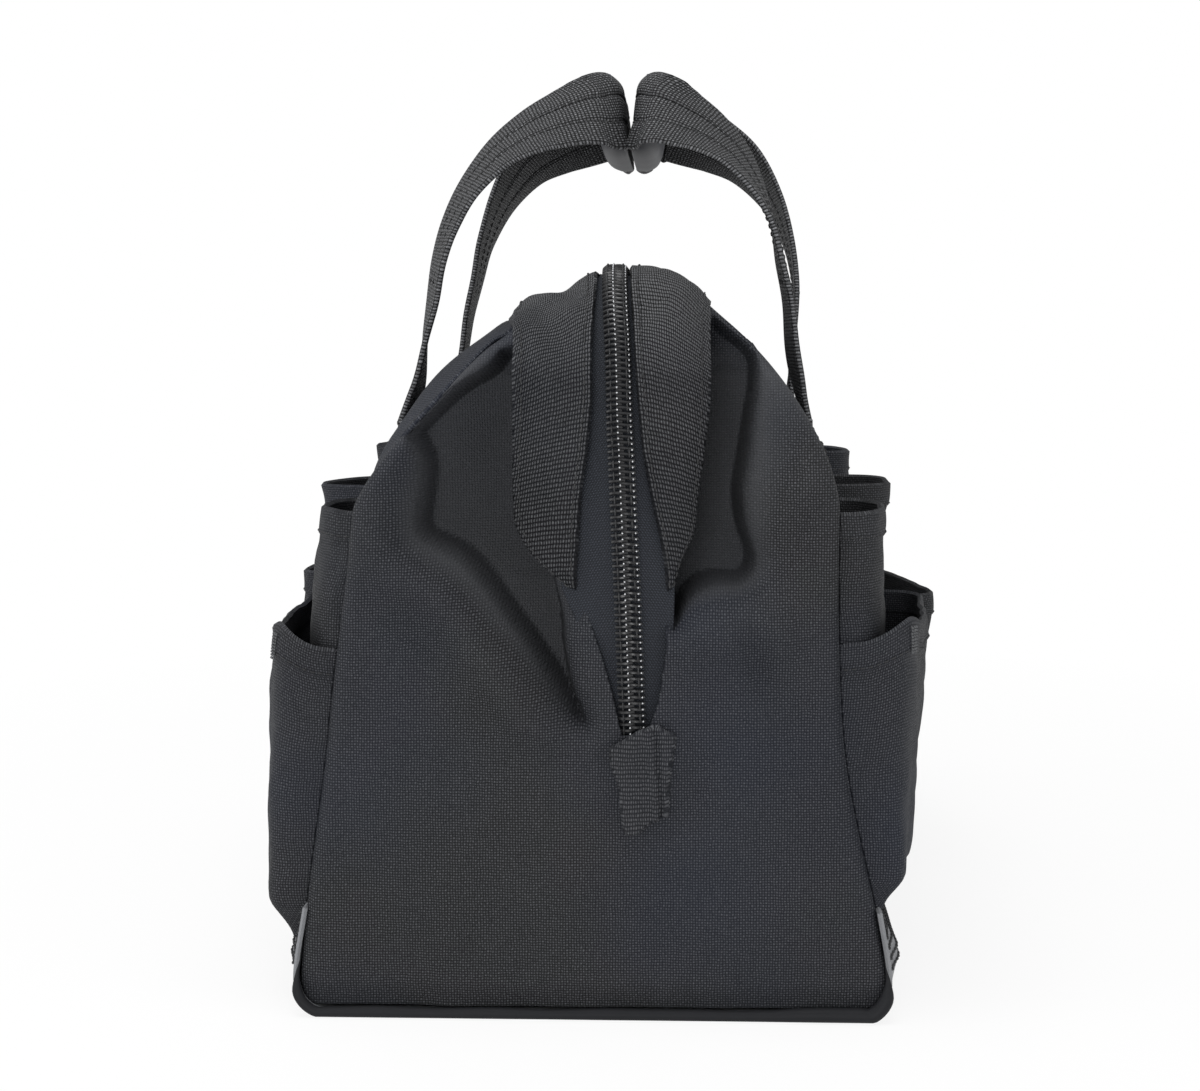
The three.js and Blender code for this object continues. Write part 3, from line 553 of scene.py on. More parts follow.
def spline(knots, count):
    """A smooth curve through knots, rows of any width, evenly spaced in its parameter."""
    knots = np.asarray(knots, float)
    n = len(knots)
    t = np.linspace(0, n - 1, count)
    i = np.clip(t.astype(int), 0, n - 2)
    f = (t - i)[:, None]
    ends = np.concatenate([2 * knots[:1] - knots[1:2], knots, 2 * knots[-1:] - knots[-2:-1]])
    a, b, c, d = ends[i], ends[i + 1], ends[i + 2], ends[i + 3]
    return 0.5 * (2 * b + (c - a) * f + (2 * a - 5 * b + 4 * c - d) * f ** 2
                  + (3 * b - a - 3 * c + d) * f ** 3)


def circles(across, out, count):
    """Circles of points of radius 1, one at each station, between two directions there."""
    turn = np.arange(count) / count * 2 * math.pi
    return np.cos(turn)[None, :, None] * across[:, None] + np.sin(turn)[None, :, None] * out[:, None]


def stitches(runs, pitch, length, radius, lift=0.12):
    """Thread stitches along runs, each a line that lies on a surface and its normals there."""
    parts = []
    for path, normal in runs:
        measure = run_lengths(path, 0)
        for place in np.arange(pitch / 2, measure[-1] - length / 2, pitch):
            at = [place - length / 2, place - length / 4, place + length / 4, place + length / 2]
            line = at_lengths(at, measure, path)
            out = unit(at_lengths(at, measure, normal))
            side = unit(np.cross(np.gradient(line, axis=0), out))
            # Both ends of a stitch dip into the cloth
            rise = np.array([-0.6, 1, 1, -0.6])[:, None] * radius * 0.6 + lift
            width = np.array([0.35, 1, 1, 0.35])[:, None, None] * radius
            rings = (line + out * rise)[:, None] + circles(side, out, 5) * width
            parts.append(tube_parts(rings, np.zeros(5)))
    return parts


# Shaders


class Wire:
    """A shader socket that takes part in Python arithmetic; each operator adds a Math node."""

    def __init__(self, tree, socket=None):
        self.tree = tree
        self.socket = socket

    def node(self, kind, settings=None, values=None, out=0):
        """Any other node: its settings first, then its sockets, and the output asked for."""
        node = self.tree.nodes.new(kind)
        for key, value in (settings or {}).items():
            setattr(node, key, value)
        for key, value in (values or {}).items():
            if isinstance(value, Wire):
                self.tree.links.new(value.socket, node.inputs[key])
            else:
                node.inputs[key].default_value = value
        return Wire(self.tree, node.outputs[out])

    def math(self, operation, *others):
        values = {0: self}
        values.update({i + 1: other for i, other in enumerate(others)})
        return self.node("ShaderNodeMath", {"operation": operation}, values)

    def flipped(self, operation, other):
        """A Math node with this value as its second one."""
        return self.node("ShaderNodeMath", {"operation": operation}, {0: other, 1: self})

    def __add__(self, other):
        return self.math("ADD", other)

    def __radd__(self, other):
        return self.flipped("ADD", other)

    def __sub__(self, other):
        return self.math("SUBTRACT", other)

    def __rsub__(self, other):
        return self.flipped("SUBTRACT", other)

    def __mul__(self, other):
        return self.math("MULTIPLY", other)

    def __rmul__(self, other):
        return self.flipped("MULTIPLY", other)

    def __truediv__(self, other):
        return self.math("DIVIDE", other)

    def __rtruediv__(self, other):
        return self.flipped("DIVIDE", other)

    def __mod__(self, other):
        return self.math("FLOORED_MODULO", other)

    def __rmod__(self, other):
        return self.flipped("FLOORED_MODULO", other)

    def clamped(self):
        """The value kept between 0 and 1."""
        return self.math("MAXIMUM", 0.0).math("MINIMUM", 1.0)

    def blend(self, low, high):
        """The value between low and high at this share."""
        return self * (high - low) + low


def shaded(colour, share):
    """The colour made darker or paler, with full alpha."""
    return (*(part * share for part in colour[:3]), 1)


def object_place(wire):
    return wire.node("ShaderNodeTexCoord", out="Object")


def axis_of(wire, vector, axis):
    return wire.node("ShaderNodeSeparateXYZ", None, {0: vector}, out=axis)


def noise(wire, vector, scale, detail=2.0, rough=0.5):
    return wire.node("ShaderNodeTexNoise", None,
                     {"Vector": vector, "Scale": scale, "Detail": detail, "Roughness": rough})


def colour_mix(wire, share, low, high):
    return wire.node("ShaderNodeMix", {"data_type": "RGBA"}, {0: share, 6: low, 7: high}, out=2)


def bump(wire, strength, distance, height):
    return wire.node("ShaderNodeBump", None,
                     {"Strength": strength, "Distance": distance, "Height": height}, out="Normal")


def cloth_lengths(wire):
    """The lengths across and along a cloth, in metres, from its UV map."""
    uv = wire.node("ShaderNodeTexCoord", out="UV")
    return axis_of(wire, uv, "X"), axis_of(wire, uv, "Y")


def sine_wave(turn):
    """An even wave from 0 to 1 over a turn in radians."""
    return turn.math("SINE") * 0.5 + 0.5


def interlace(s, t, pitch_s, pitch_t, stagger):
    """Height of a plain weave, and how pale each crossing is painted as its highlight; stagger darkens
    every other.
    """
    a = s / pitch_s
    b = t / pitch_t
    over = ((a.math("FLOOR") + b.math("FLOOR")) % 2).math("LESS_THAN", 0.5)
    knuckle = (a.math("FRACT") * math.pi).math("SINE") * (b.math("FRACT") * math.pi).math("SINE")
    painted_gleam = knuckle.math("POWER", 1.5) * (over * stagger + (1 - stagger))
    return knuckle.math("POWER", 0.5) * (over * 0.5 + 0.5), painted_gleam


def finish(name, build, **constants):
    """A material: constants go to the Principled BSDF's own sockets, and build links the rest."""
    material = bpy.data.materials.new(name)
    material.use_nodes = True
    tree = material.node_tree
    shader = tree.nodes["Principled BSDF"]
    for key, value in constants.items():
        shader.inputs[key.replace("_", " ")].default_value = value
    for key, value in build(Wire(tree)).items():
        tree.links.new(value.socket, shader.inputs[key])
    return material


def tinted(wire, colour, share, low=0.6, high=1.4):
    """The colour made darker or paler by a share from 0 to 1."""
    return colour_mix(wire, share, shaded(colour, low), shaded(colour, high))


# Heights and depths in metres at which painted highlight along the top and painted fill light in the
# tucks change the cloth's colour
CROWN_Z = 0.222
TUCK_FACE = 0.149
TUCK_TOP = 0.24
TUCK_FOOT = 0.095


def tuck_fill_mask(wire, spot):
    """1 in the tucks behind the face of an end, between their foot and their top, else 0: where paler
    colour is painted in as fill light against their shade.
    """
    back = TUCK_FACE - axis_of(wire, spot, "Y").math("ABSOLUTE")
    level = axis_of(wire, spot, "Z")
    below = ((TUCK_TOP - level) / 0.015).clamped()
    above = ((level - TUCK_FOOT) / 0.02).clamped()
    return (back / 0.008).clamped() * below * above


def woven(name, colour, pitch_s, pitch_t, relief, rough, low, high, stagger, blue=0.0, crown=0.0,
          tuck_fill=0.0):
    """Threads of two pitches: relief is their height, low and high how dark and pale they are, with the
    crossings painted paler as their highlights, blue the share of cooler patches, crown the share of
    painted highlight along the top, and the last share how much fill light is painted into the tucks to
    make them paler."""
    def build(wire):
        s, t = cloth_lengths(wire)
        spot = object_place(wire)
        wander = (noise(wire, spot, 260, 1.0) - 0.5) * 0.0008
        height, painted_gleam = interlace(s + wander, t + wander, pitch_s, pitch_t, stagger)
        slub = noise(wire, spot, 900, 2.0, 0.6)
        cloud = noise(wire, spot, 14, 3.0, 0.55)
        # The weave's crossings are real, their paler colour a painted highlight; slub and cloud vary
        # the tone at random
        share = painted_gleam * (slub * 1.9 + 0.05) + (cloud - 0.5) * 0.16
        if crown:
            # Painted highlight: the threads are made paler along the top, which faces the light
            level = axis_of(wire, spot, "Z")
            share = share * (((level - CROWN_Z) * 30.0).clamped() * crown + 1.0)
        base = tinted(wire, colour, share, low, high)
        if blue:
            cool = ((noise(wire, spot, 9, 2.0) - 0.42) * blue).math("MAXIMUM", 0.0)
            base = colour_mix(wire, cool, base, (colour[0] * 0.7, colour[1], colour[2] * 1.9, 1))
        if tuck_fill:
            # Painted fill light: the tucked-in cloth is made paler and plainer, lifting its shade
            base = colour_mix(wire, tuck_fill_mask(wire, spot) * tuck_fill, base, shaded(colour, 2.4))
        return {"Base Color": base, "Roughness": slub.blend(rough[1], rough[0]),
                "Normal": bump(wire, 1.0, relief, height + slub * 0.3)}

    return finish(name, build, Specular_IOR_Level=0.14)


def coated(name, colour, rough=0.42, grain=0.00008, scale=1400, **constants):
    """A smooth skin with fine pores, such as vinyl or nylon."""
    def build(wire):
        spot = object_place(wire)
        pores = wire.node("ShaderNodeTexVoronoi", None, {"Vector": spot, "Scale": scale})
        cloud = noise(wire, spot, 30, 4.0, 0.6)
        return {"Base Color": tinted(wire, colour, cloud, 0.78, 1.2),
                "Roughness": cloud.blend(rough - 0.1, rough + 0.12),
                "Normal": bump(wire, 0.7, grain, pores + cloud * 2)}

    return finish(name, build, **constants)


def twisted(name, colour):
    """Sewing thread of several plies."""
    def build(wire):
        s, t = cloth_lengths(wire)
        ply = sine_wave((t * 5200 + s * 900) * math.pi)
        fuzz = noise(wire, object_place(wire), 1500, 2.0)
        return {"Base Color": tinted(wire, colour, ply * 0.6 + fuzz * 0.4),
                "Roughness": fuzz.blend(0.5, 0.75), "Normal": bump(wire, 0.8, 0.0001, ply + fuzz)}

    return finish(name, build)


def twill(name, colour):
    """Zipper tape, with slanting lines of fine dots."""
    def build(wire):
        s, t = cloth_lengths(wire)
        fuzz = noise(wire, object_place(wire), 1200, 2.0)
        line = sine_wave((s + t * 0.7) / 0.0011 * 2 * math.pi)
        rows = sine_wave(t / 0.0009 * 2 * math.pi)
        dots = (line * rows).math("POWER", 1.3)
        return {"Base Color": tinted(wire, colour, dots * 0.9 + fuzz * 0.3, 0.4, 2.4),
                "Roughness": fuzz.blend(0.6, 0.85),
                "Normal": bump(wire, 1.0, 0.0002, dots + fuzz * 0.4)}

    return finish(name, build, Specular_IOR_Level=0.16)


def painted(name, colour):
    """Dark paint on cast metal, worn in patches."""
    def build(wire):
        spot = object_place(wire)
        fine = noise(wire, spot, 1800, 2.0)
        wear = noise(wire, spot, 160, 4.0, 0.6)
        return {"Base Color": tinted(wire, colour, wear, 0.7, 1.5),
                "Roughness": wear.blend(0.28, 0.5), "Normal": bump(wire, 0.4, 0.00003, fine)}

    return finish(name, build, Metallic=0.6)


def dress(obj, material):
    obj.data.materials.clear()
    obj.data.materials.append(material)


looks = {}


def make_looks(sizes, colours):
    """Every material of the bag, by a short name."""
    thread, rib = sizes.thread, sizes.rib
    cloth = dict(colour=colours.cloth, pitch_s=thread, pitch_t=thread, relief=0.0003, rough=(0.5, 0.85),
                 low=0.45, high=3.1, stagger=0.45, blue=0.9)
    looks["cloth"] = woven("Woven cloth", **cloth)
    # The ends' tucks get painted fill light that makes them paler
    looks["end"] = woven("End cloth", **cloth, tuck_fill=0.7)
    # The bands' webbing gets painted highlight along its top as well as on its crossings
    looks["webbing"] = woven("Ribbed webbing", shaded(colours.webbing, 0.74), rib * 0.62, rib, 0.0007,
                             (0.35, 0.7), low=0.3, high=6.0, stagger=0.3, blue=0.5, crown=1.6)
    looks["tab"] = woven("Tab webbing", colours.webbing, rib * 0.9, rib * 0.5, 0.0005, (0.5, 0.8),
                         low=0.6, high=4.4, stagger=0.4, blue=0.9)
    looks["strap"] = woven("Handle webbing", colours.webbing, rib * 0.72, rib * 0.82, 0.0007,
                           (0.35, 0.7), low=0.3, high=8.5, stagger=0.45)
    looks["tape"] = twill("Zipper twill", colours.tape)
    looks["coil"] = coated("Nylon coil", colours.coil, 0.3, 0.00002, 2500, Specular_IOR_Level=0.35)
    looks["vinyl"] = coated("Grey vinyl", colours.vinyl, 0.5, 0.00006, 1500, Specular_IOR_Level=0.25)
    looks["piping"] = coated("Black piping", colours.piping, 0.6, 0.00004, 900, Specular_IOR_Level=0.12)
    looks["grip"] = coated("Grip vinyl", colours.grip, 0.5, 0.00005, 1700, Specular_IOR_Level=0.25)
    looks["board"] = coated("Stiffener board", shaded(colours.piping, 0.8), 0.6)
    looks["metal"] = painted("Painted zinc", colours.metal)
    looks["thread"] = twisted("Sewing thread", colours.thread)
    looks["tack"] = twisted("Bartack thread", colours.tack)
    # Painted highlights: the pale dashes on the coil's loops
    looks["glint"] = coated("Painted coil glint", colours.glint, 0.3)


def own(obj, look, stands_for=(), body="root", bend=None):
    """Gives a piece its material, hides the nodes it stands for, and ties it to the body it moves with;
    a piece given a bend instead has its transform baked in.
    """
    dress(obj, looks[look])
    if bend:
        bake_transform(obj)
    else:
        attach(obj, body)
    if stands_for:
        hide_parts(*stands_for)


def mouth_bend(name):
    """How the ends and the ridge give when a half of the mouth turns."""
    return "root", f"mouth_{name}", MOVE_FROM, MOVE_TO


def fold_bend(name):
    """How the cloth and straps at the shoulder give when a half of the mouth turns."""
    return "root", f"mouth_{name}", FOLD_FROM, FOLD_TO


# Stage


WHITE = (1, 1, 1, 1)
CAMERA_PLACE = (0.0355, -0.7068, 0.2275)
CAMERA_DOWN = math.radians(2.914)
CAMERA_LEFT = math.radians(1.604)
LIGHTS = (
    # name, place, what it points at, width and height, power
    ("Overhead", (-0.15, -0.3, 1.5), (0, -0.05, 0.2), (1.0, 0.8), 12),
    ("Front fill", (-0.2, -1.9, 0.22), (0, 0, 0.16), (0.8, 0.6), 14),
    ("Right fill", (1.5, -0.7, 0.6), (0, 0, 0.14), (0.8, 1.0), 5),
    ("Left fill", (-1.5, -0.4, 0.6), (0, 0, 0.14), (0.8, 1.0), 7),
)


def add_light(name, place, target, size, power):
    light = bpy.data.lights.new(name, "AREA")
    light.shape = "RECTANGLE"
    light.size, light.size_y = size
    light.energy = power
    obj = bpy.data.objects.new(name, light)
    obj.location = place
    obj.rotation_euler = (Vector(target) - Vector(place)).to_track_quat("-Z", "Y").to_euler()
    bpy.context.collection.objects.link(obj)


def add_camera(scene):
    data = bpy.data.cameras.new("Camera")
    data.sensor_width = 36
    data.lens = 48.48
    data.shift_x = -0.04
    data.shift_y = -0.08
    camera = bpy.data.objects.new("Camera", data)
    camera.location = CAMERA_PLACE
    camera.rotation_euler = (math.pi / 2 - CAMERA_DOWN, 0, CAMERA_LEFT)
    bpy.context.collection.objects.link(camera)
    scene.camera = camera


def add_world(scene):
    """A soft even light, with plain white for the camera."""
    world = bpy.data.worlds.new("Studio")
    world.use_nodes = True
    tree = world.node_tree
    shade = tree.nodes["Background"]
    shade.inputs["Color"].default_value = WHITE
    shade.inputs["Strength"].default_value = 0.5
    wire = Wire(tree)
    seen = wire.node("ShaderNodeLightPath", out="Is Camera Ray")
    white = wire.node("ShaderNodeBackground", None, {"Color": WHITE, "Strength": 1.0})
    both = wire.node("ShaderNodeMixShader", None, {0: seen, 1: Wire(tree, shade.outputs[0]), 2: white})
    tree.links.new(both.socket, tree.nodes["World Output"].inputs["Surface"])
    scene.world = world


def paper(wire, shader, strength):
    """White for the camera, and in glossy and clear surfaces, over the shader's own light."""
    path = wire.node("ShaderNodeLightPath")
    outputs = path.socket.node.outputs
    seen = Wire(wire.tree, outputs["Is Camera Ray"]) + Wire(wire.tree, outputs["Is Glossy Ray"])
    seen = (seen + Wire(wire.tree, outputs["Is Transmission Ray"])).math("MINIMUM", 1.0)
    glow = wire.node("ShaderNodeEmission", None, {"Color": WHITE, "Strength": 1.0})
    return wire.node("ShaderNodeMixShader", None, {0: seen * strength, 1: shader, 2: glow})


def add_floor():
    """A pale floor that keeps the bag's shadow and fades into the white behind it."""
    half = 4.0
    corners = np.array([(-half, -half, 0), (half, -half, 0), (half, half, 0), (-half, half, 0)])
    floor = raw_mesh("floor", corners / MM, [(0, 1, 2, 3)], corners[:, :2])
    material = bpy.data.materials.new("Paper")
    material.use_nodes = True
    tree = material.node_tree
    base = tree.nodes["Principled BSDF"]
    base.inputs["Base Color"].default_value = (0.9, 0.9, 0.9, 1)
    base.inputs["Roughness"].default_value = 0.9
    wire = Wire(tree)
    spot = object_place(wire)
    away = wire.node("ShaderNodeVectorMath", {"operation": "LENGTH"}, {0: spot}, out="Value")
    faded = ((away - 0.2) / 0.45).clamped()
    surface = paper(wire, Wire(tree, base.outputs[0]), faded.blend(0.86, 1.0))
    tree.links.new(surface.socket, tree.nodes["Material Output"].inputs["Surface"])
    dress(floor, material)


class BAG_OT_stage(bpy.types.Operator):
    """Camera, lights, floor and backdrop"""

    bl_idname = "bag.stage"
    bl_label = "Stage"

    def execute(self, context):
        context.scene.view_settings.view_transform = "Standard"
        add_camera(context.scene)
        add_world(context.scene)
        add_floor()
        for light in LIGHTS:
            add_light(*light)
        return {"FINISHED"}


# Ends


def half_panel(end, side, z, start, stop, columns):
    """Points and normals of one side of an end, from start to stop across at each height."""
    share = 1 - (1 - np.linspace(0, 1, columns)) ** 1.3
    x = mix(start, stop, share[None])
    z = z + 0 * x
    return end_points(end, side, x, z), end_normals(end, side, x, z)


def lower_panel(end, z):
    """The whole width of an end under the zipper, with its lower corners rounded."""
    corner = np.maximum(0, BASE_CORNER - z)
    cut = BASE_CORNER - np.sqrt(np.maximum(BASE_CORNER ** 2 - corner ** 2, 0))
    halves = []
    for side in (-1, 1):
        stop = outline_x(side, end * HALF_LENGTH + 0 * z, z) - side * cut
        halves.append(half_panel(end, side, z, zip_x(z), stop, 84))
    (left, left_normals), (right, right_normals) = halves
    return (np.concatenate([left[:, :0:-1], right], 1),
            np.concatenate([left_normals[:, :0:-1], right_normals], 1))


def upper_panel(end, side, z, gap):
    """One side of an end beside the zipper tape, at a gap from the tape's edge."""
    start = zip_x(z) + side * (tape_edge(side, z) + gap)
    return half_panel(end, side, z, start, outline_x(side, end * HALF_LENGTH + 0 * z, z), 104)


def end_sheet(end, thick, points, normals):
    """A sheet of an end; one UV frame over the whole end keeps the weave unbroken."""
    uv = np.stack([points[..., 0], points[..., 2]], -1) * MM
    return sheet_parts(points, thick, (0, end, 0), uv, normals)


class BAG_OT_ends(bpy.types.Operator):
    """Both ends: the lower panels, and the tucked upper halves that part with the mouth"""

    bl_idname = "bag.ends"
    bl_label = "Ends"

    def execute(self, context):
        thick = context.scene.bag_sizes.cloth / MM
        # The rows stand closer near the zipper's foot and near the top
        low = np.concatenate([np.linspace(END_FOOT, 82, 44), np.linspace(83.5, ZIP_FOOT, 14)])
        middle = np.linspace(ZIP_FOOT, MOVE_FROM, 50)[:, None]
        high = np.concatenate([np.linspace(MOVE_FROM, 240, 80), np.linspace(241.2, END_TOP, 14)])
        for place, end in ENDS.items():
            parts = [end_sheet(end, thick, *lower_panel(end, low[:, None]))]
            parts += [end_sheet(end, thick, *upper_panel(end, side, middle, 0)) for side in (-1, 1)]
            own(piece(f"end_{place}", *parts), "end", (f"end_panel_{place}",))
            for name, side in SIDES.items():
                part = end_sheet(end, thick, *upper_panel(end, side, high[:, None], CLEAR))
                own(piece(f"tuck_{place}_{name}", part), "end", (f"gusset_{place}_{name}",),
                    bend=mouth_bend(name))
        return {"FINISHED"}


# Sides and top


def wall_points(side):
    """The long side from the base to the shoulder."""
    reach = END_FACE - CORNER - CLEAR
    y = np.linspace(-reach, reach, 120)[None, :]
    z = np.linspace(24, SHOULDER_Z, 60)[:, None]
    calm = smooth((reach - np.abs(y)) / 12) * smooth((SHOULDER_Z - z) / 10)
    x = wall_x(side, y, z + 0 * y) + side * 0.7 * ripple(y, z, 60, 20 + side) * calm
    return np.stack(np.broadcast_arrays(x, y, z), -1)


def flap_points(side):
    """The arch of the mouth from the shoulder up to the band."""
    turn = np.linspace(0, 1, 72)[:, None]
    z = SHOULDER_Z + (RIDGE_Z - SHOULDER_Z) * np.sin(turn * math.pi / 2) ** (2 / ARCH)
    z = np.minimum(z, arch_z(side, 0 * z, 6.4 + 0 * z))
    # Near the bands the flap slips under the end's rim
    stop = END_FACE - inset(z, SHOULDER_Z) - CORNER - CLEAR + 1.4 * smooth((z - 212) / 16)
    y = np.linspace(-1, 1, 120)[None, :] * stop
    reach = arch_reach(side, y, z + 0 * y)
    x = RIDGE_X + side * reach + pinch(side, y, z)
    calm = smooth((stop - np.abs(y)) / 10) * smooth((z - SHOULDER_Z) / 12)
    sag = 0.9 * ripple(y, z + x, 58, 30 + side) * calm
    sag = sag - 1.6 * smooth((z - 205) / 30) * (1 - (y / HALF_LENGTH) ** 2)
    x = x + side * sag * 0.7
    return np.stack(np.broadcast_arrays(x, y, z + sag * 0.7 + top_swell(side, reach, y)), -1)


class BAG_OT_walls(bpy.types.Operator):
    """The long side walls and the flaps above their fold"""

    bl_idname = "bag.walls"
    bl_label = "Walls and flaps"

    def execute(self, context):
        thick = context.scene.bag_sizes.cloth / MM
        for name, side in SIDES.items():
            wall = sheet_parts(wall_points(side), thick, (side, 0, 0))
            own(piece(f"wall_{name}", wall), "cloth", (f"side_wall_{name}",))
            flap = sheet_parts(flap_points(side), thick, (side, 0, 0.6))
            own(piece(f"top_{name}", flap), "cloth", (f"flap_{name}",), bend=fold_bend(name))
        return {"FINISHED"}


# Zipper


BAND_FOOT = 150.5
# The left half of the chain leaves room round the slider's place at rest
SLIDER_Y = 76
SLIDER_ROOM = 9
TAPE_THICK = 0.7
# How far the tape runs on under the bands
TAPE_HIDDEN = 3
# The two layers of webbing in a tab
TAB_THICK = 2.6
TAB_UNDER = 1.6
# One loop of the coil from its outer foot over its top to the middle: out to the side, up,
# ahead in shares of the pitch, and how thick the nylon is there
COIL_LOOP = (
    (4.3, -0.5, 0, 0.5), (4.2, 0.9, 0, 0.72), (3.2, 1.75, 0, 0.7), (1.7, 2.05, 0.05, 0.66),
    (0.45, 2.0, 0.12, 0.76), (-0.4, 1.55, 0.16, 0.82), (-0.45, 0.6, 0.16, 0.5),
)


def ridge_line():
    """The zipper's middle from its front foot over the ridge to its rear foot, with its
    directions ahead and out."""
    z = RIDGE_Z - (RIDGE_Z - ZIP_FOOT) * (1 - np.sin(np.linspace(0.0, 1, 220) * math.pi / 2))
    y = -(END_FACE - inset(z, ZIP_FOOT))
    front = np.stack([zip_x(z), y, z], -1)
    y = np.linspace(y[-1], -y[-1], 82)[1:-1]
    top = np.stack([RIDGE_X + 0 * y, y, RIDGE_Z + 0 * y], -1)
    line = resample(np.concatenate([front, top, front[::-1] * (1, -1, 1)]), 900)
    ahead = unit(np.gradient(line, axis=0))
    out = unit(np.cross(ahead, (-1.0, 0, 0)))
    # Its lower part lies a little further to the left
    return line - np.array([1.2, 0, 0]) * smooth((SHOULDER_Z + 60 - line[:, 2:]) / 40), ahead, out


def strip_over(side, share, lift):
    """A line over the bag beside the zipper: up the front, along the top and down the rear.
    share runs from the tape's edge to the band's outer edge."""
    top_reach = mix(tape_edge(side, 262), band_edge(side, RIDGE_Z), share)
    brow = float(arch_z(side, np.array(100.0), np.array(top_reach)))
    z = np.linspace(BAND_FOOT, brow - 2, 100)
    reach = mix(tape_edge(side, z), band_edge(side, z), share)
    reach = np.minimum(reach, end_reach(side, z) + 4)
    x = zip_x(z) + side * reach
    within = np.minimum(side * x, side * outline_x(side, -HALF_LENGTH + 0 * z, z)) * side
    front = end_points(-1, side, within, z, lift)
    # The band spans the hollow instead of following it down
    flat = -(END_FACE - band_depth(z, reach, np.maximum(band_edge(side, z), 1))) - lift
    front[:, 1] = np.minimum(front[:, 1], flat)
    front[:, 0] = x
    rear = np.stack([x, -front[:, 1], z + brow_rise(side, reach, BROW_Y, z)], -1)
    y = np.linspace(front[-1, 1] + 3, -front[-1, 1] - 3, 120)
    level = arch_z(side, y, top_reach + 0 * y) + lift + top_swell(side, top_reach, y)
    top = np.stack([RIDGE_X + side * top_reach + 0 * y, y, level], -1)
    return relax(np.concatenate([front, top, rear[::-1]]), 13)


class BAG_OT_bands(bpy.types.Operator):
    """The wide webbing bands beside the zipper"""

    bl_idname = "bag.bands"
    bl_label = "Bands"

    def execute(self, context):
        thick = context.scene.bag_sizes.webbing / MM * 0.8
        for name, side in SIDES.items():
            points = np.stack([strip_over(side, share, thick + 0.5 - 0.7 * share ** 3)
                               for share in np.linspace(0, 1, 25)])
            wave = ripple(points[..., 0] * 2, points[..., 1] + points[..., 2], 34, 40 + side)
            wave = wave * (0.35 + 0.75 * smooth((points[..., 2] - 232) / 20))
            points = points + grid_normals(points) * wave[..., None]
            uv = np.stack([run_lengths(points, 0),
                           np.broadcast_to(run_lengths(points, 1)[8], points.shape[:2])], -1) * MM
            stands = [f"zip_band_{name}"] + [f"band_foot_{place}_{name}" for place in ENDS]
            own(piece(f"band_{name}", sheet_parts(points, thick, (0, 0, 1), uv)), "webbing",
                stands, bend=mouth_bend(name))
            normals = grid_normals(points)
            normals = normals * np.sign(np.sum(normals[:, 200, 2]))
            runs = [(points[row], normals[row]) for row in (2, 22)]
            own(piece(f"band_stitches_{name}", *stitches(runs, 3.4, 2.3, 0.3)), "thread",
                bend=mouth_bend(name))
        return {"FINISHED"}


def tape_sheet(side, line, out):
    """The zipper tape from the chain's middle to under the band."""
    edge = (tape_edge(side, line[:, 2]) + TAPE_HIDDEN)[::3]
    share = np.linspace(0, 1, 9)[:, None]
    points = line[::3] - (1.1 + 1.4 * share)[..., None] * out[::3]
    points[..., 0] += side * mix(0.35, edge, share)
    uv = np.stack([share * edge, run_lengths(points, 1)], -1) * MM
    return sheet_parts(points, TAPE_THICK, (0, 0, 1), uv)


def coil_loops(side, line, ahead, out, pitch):
    """The nylon loops of one half of the chain; the halves stand half a pitch apart."""
    length = run_lengths(line, 0)
    across = np.array([side, 0, 0.0])
    thick = np.array([row[3] for row in COIL_LOOP])[:, None, None]
    parts = []
    for place in np.arange(2.0, length[-1] - 2, pitch) + (pitch / 2 if side > 0 else 0):
        at = at_lengths(place, length, line)
        if side < 0 and abs(at[1] - SLIDER_Y) < SLIDER_ROOM and at[2] > RIDGE_Z - 9:
            continue
        up = unit(at_lengths(place, length, out))
        forward = unit(at_lengths(place, length, ahead))
        spine = np.array([at + across * reach + up * level + forward * step * pitch
                          for reach, level, step, _ in COIL_LOOP])
        run = unit(np.gradient(spine, axis=0))
        wide = np.broadcast_to(forward, run.shape)
        ring = circles(wide * 0.95, unit(np.cross(run, wide)), 6)
        parts.append(tube_parts(spine[:, None] + ring * thick, np.zeros(6)))
    return parts


class BAG_OT_zipper(bpy.types.Operator):
    """Zipper tape and both rows of the coil"""

    bl_idname = "bag.zipper"
    bl_label = "Zipper"

    def execute(self, context):
        pitch = context.scene.bag_sizes.tooth / MM
        line, ahead, out = ridge_line()

        def beside(reach, level):
            """A run for stitches beside the zipper's middle, with its normals."""
            return (line + out * level + np.array([reach, 0, 0]))[::4], out[::4]

        tape_nodes = {"left": ["zip_tape_left"],
                      "right": ["zip_tape_right"] + [f"zip_end_{place}" for place in ENDS]}
        coil_nodes = {"left": ["zip_coil_left", "zip_coil_left_rear"], "right": ["zip_coil_right"]}
        for name, side in SIDES.items():
            bend = mouth_bend(name)
            own(piece(f"tape_{name}", tape_sheet(side, line, out)), "tape",
                tape_nodes[name], bend=bend)
            own(piece(f"coil_{name}", *coil_loops(side, line, ahead, out, pitch)), "coil",
                coil_nodes[name], bend=bend)
            runs = [beside(side * 2.9, 2.5)]
            own(piece(f"coil_stitches_{name}", *stitches(runs, 2 * pitch, 1.5 * pitch, 0.28, 0)),
                "thread", bend=bend)
        # Painted highlights: pale dashes stand for the light on the loops where they turn down, in the
        # middle and at the right edge
        runs = [beside(-0.7, 2.75), beside(3.9, 1.9)]
        own(piece("coil_glints", *stitches(runs, pitch, 0.3 * pitch, 0.26, 0)), "glint",
            bend=mouth_bend("right"))
        return {"FINISHED"}


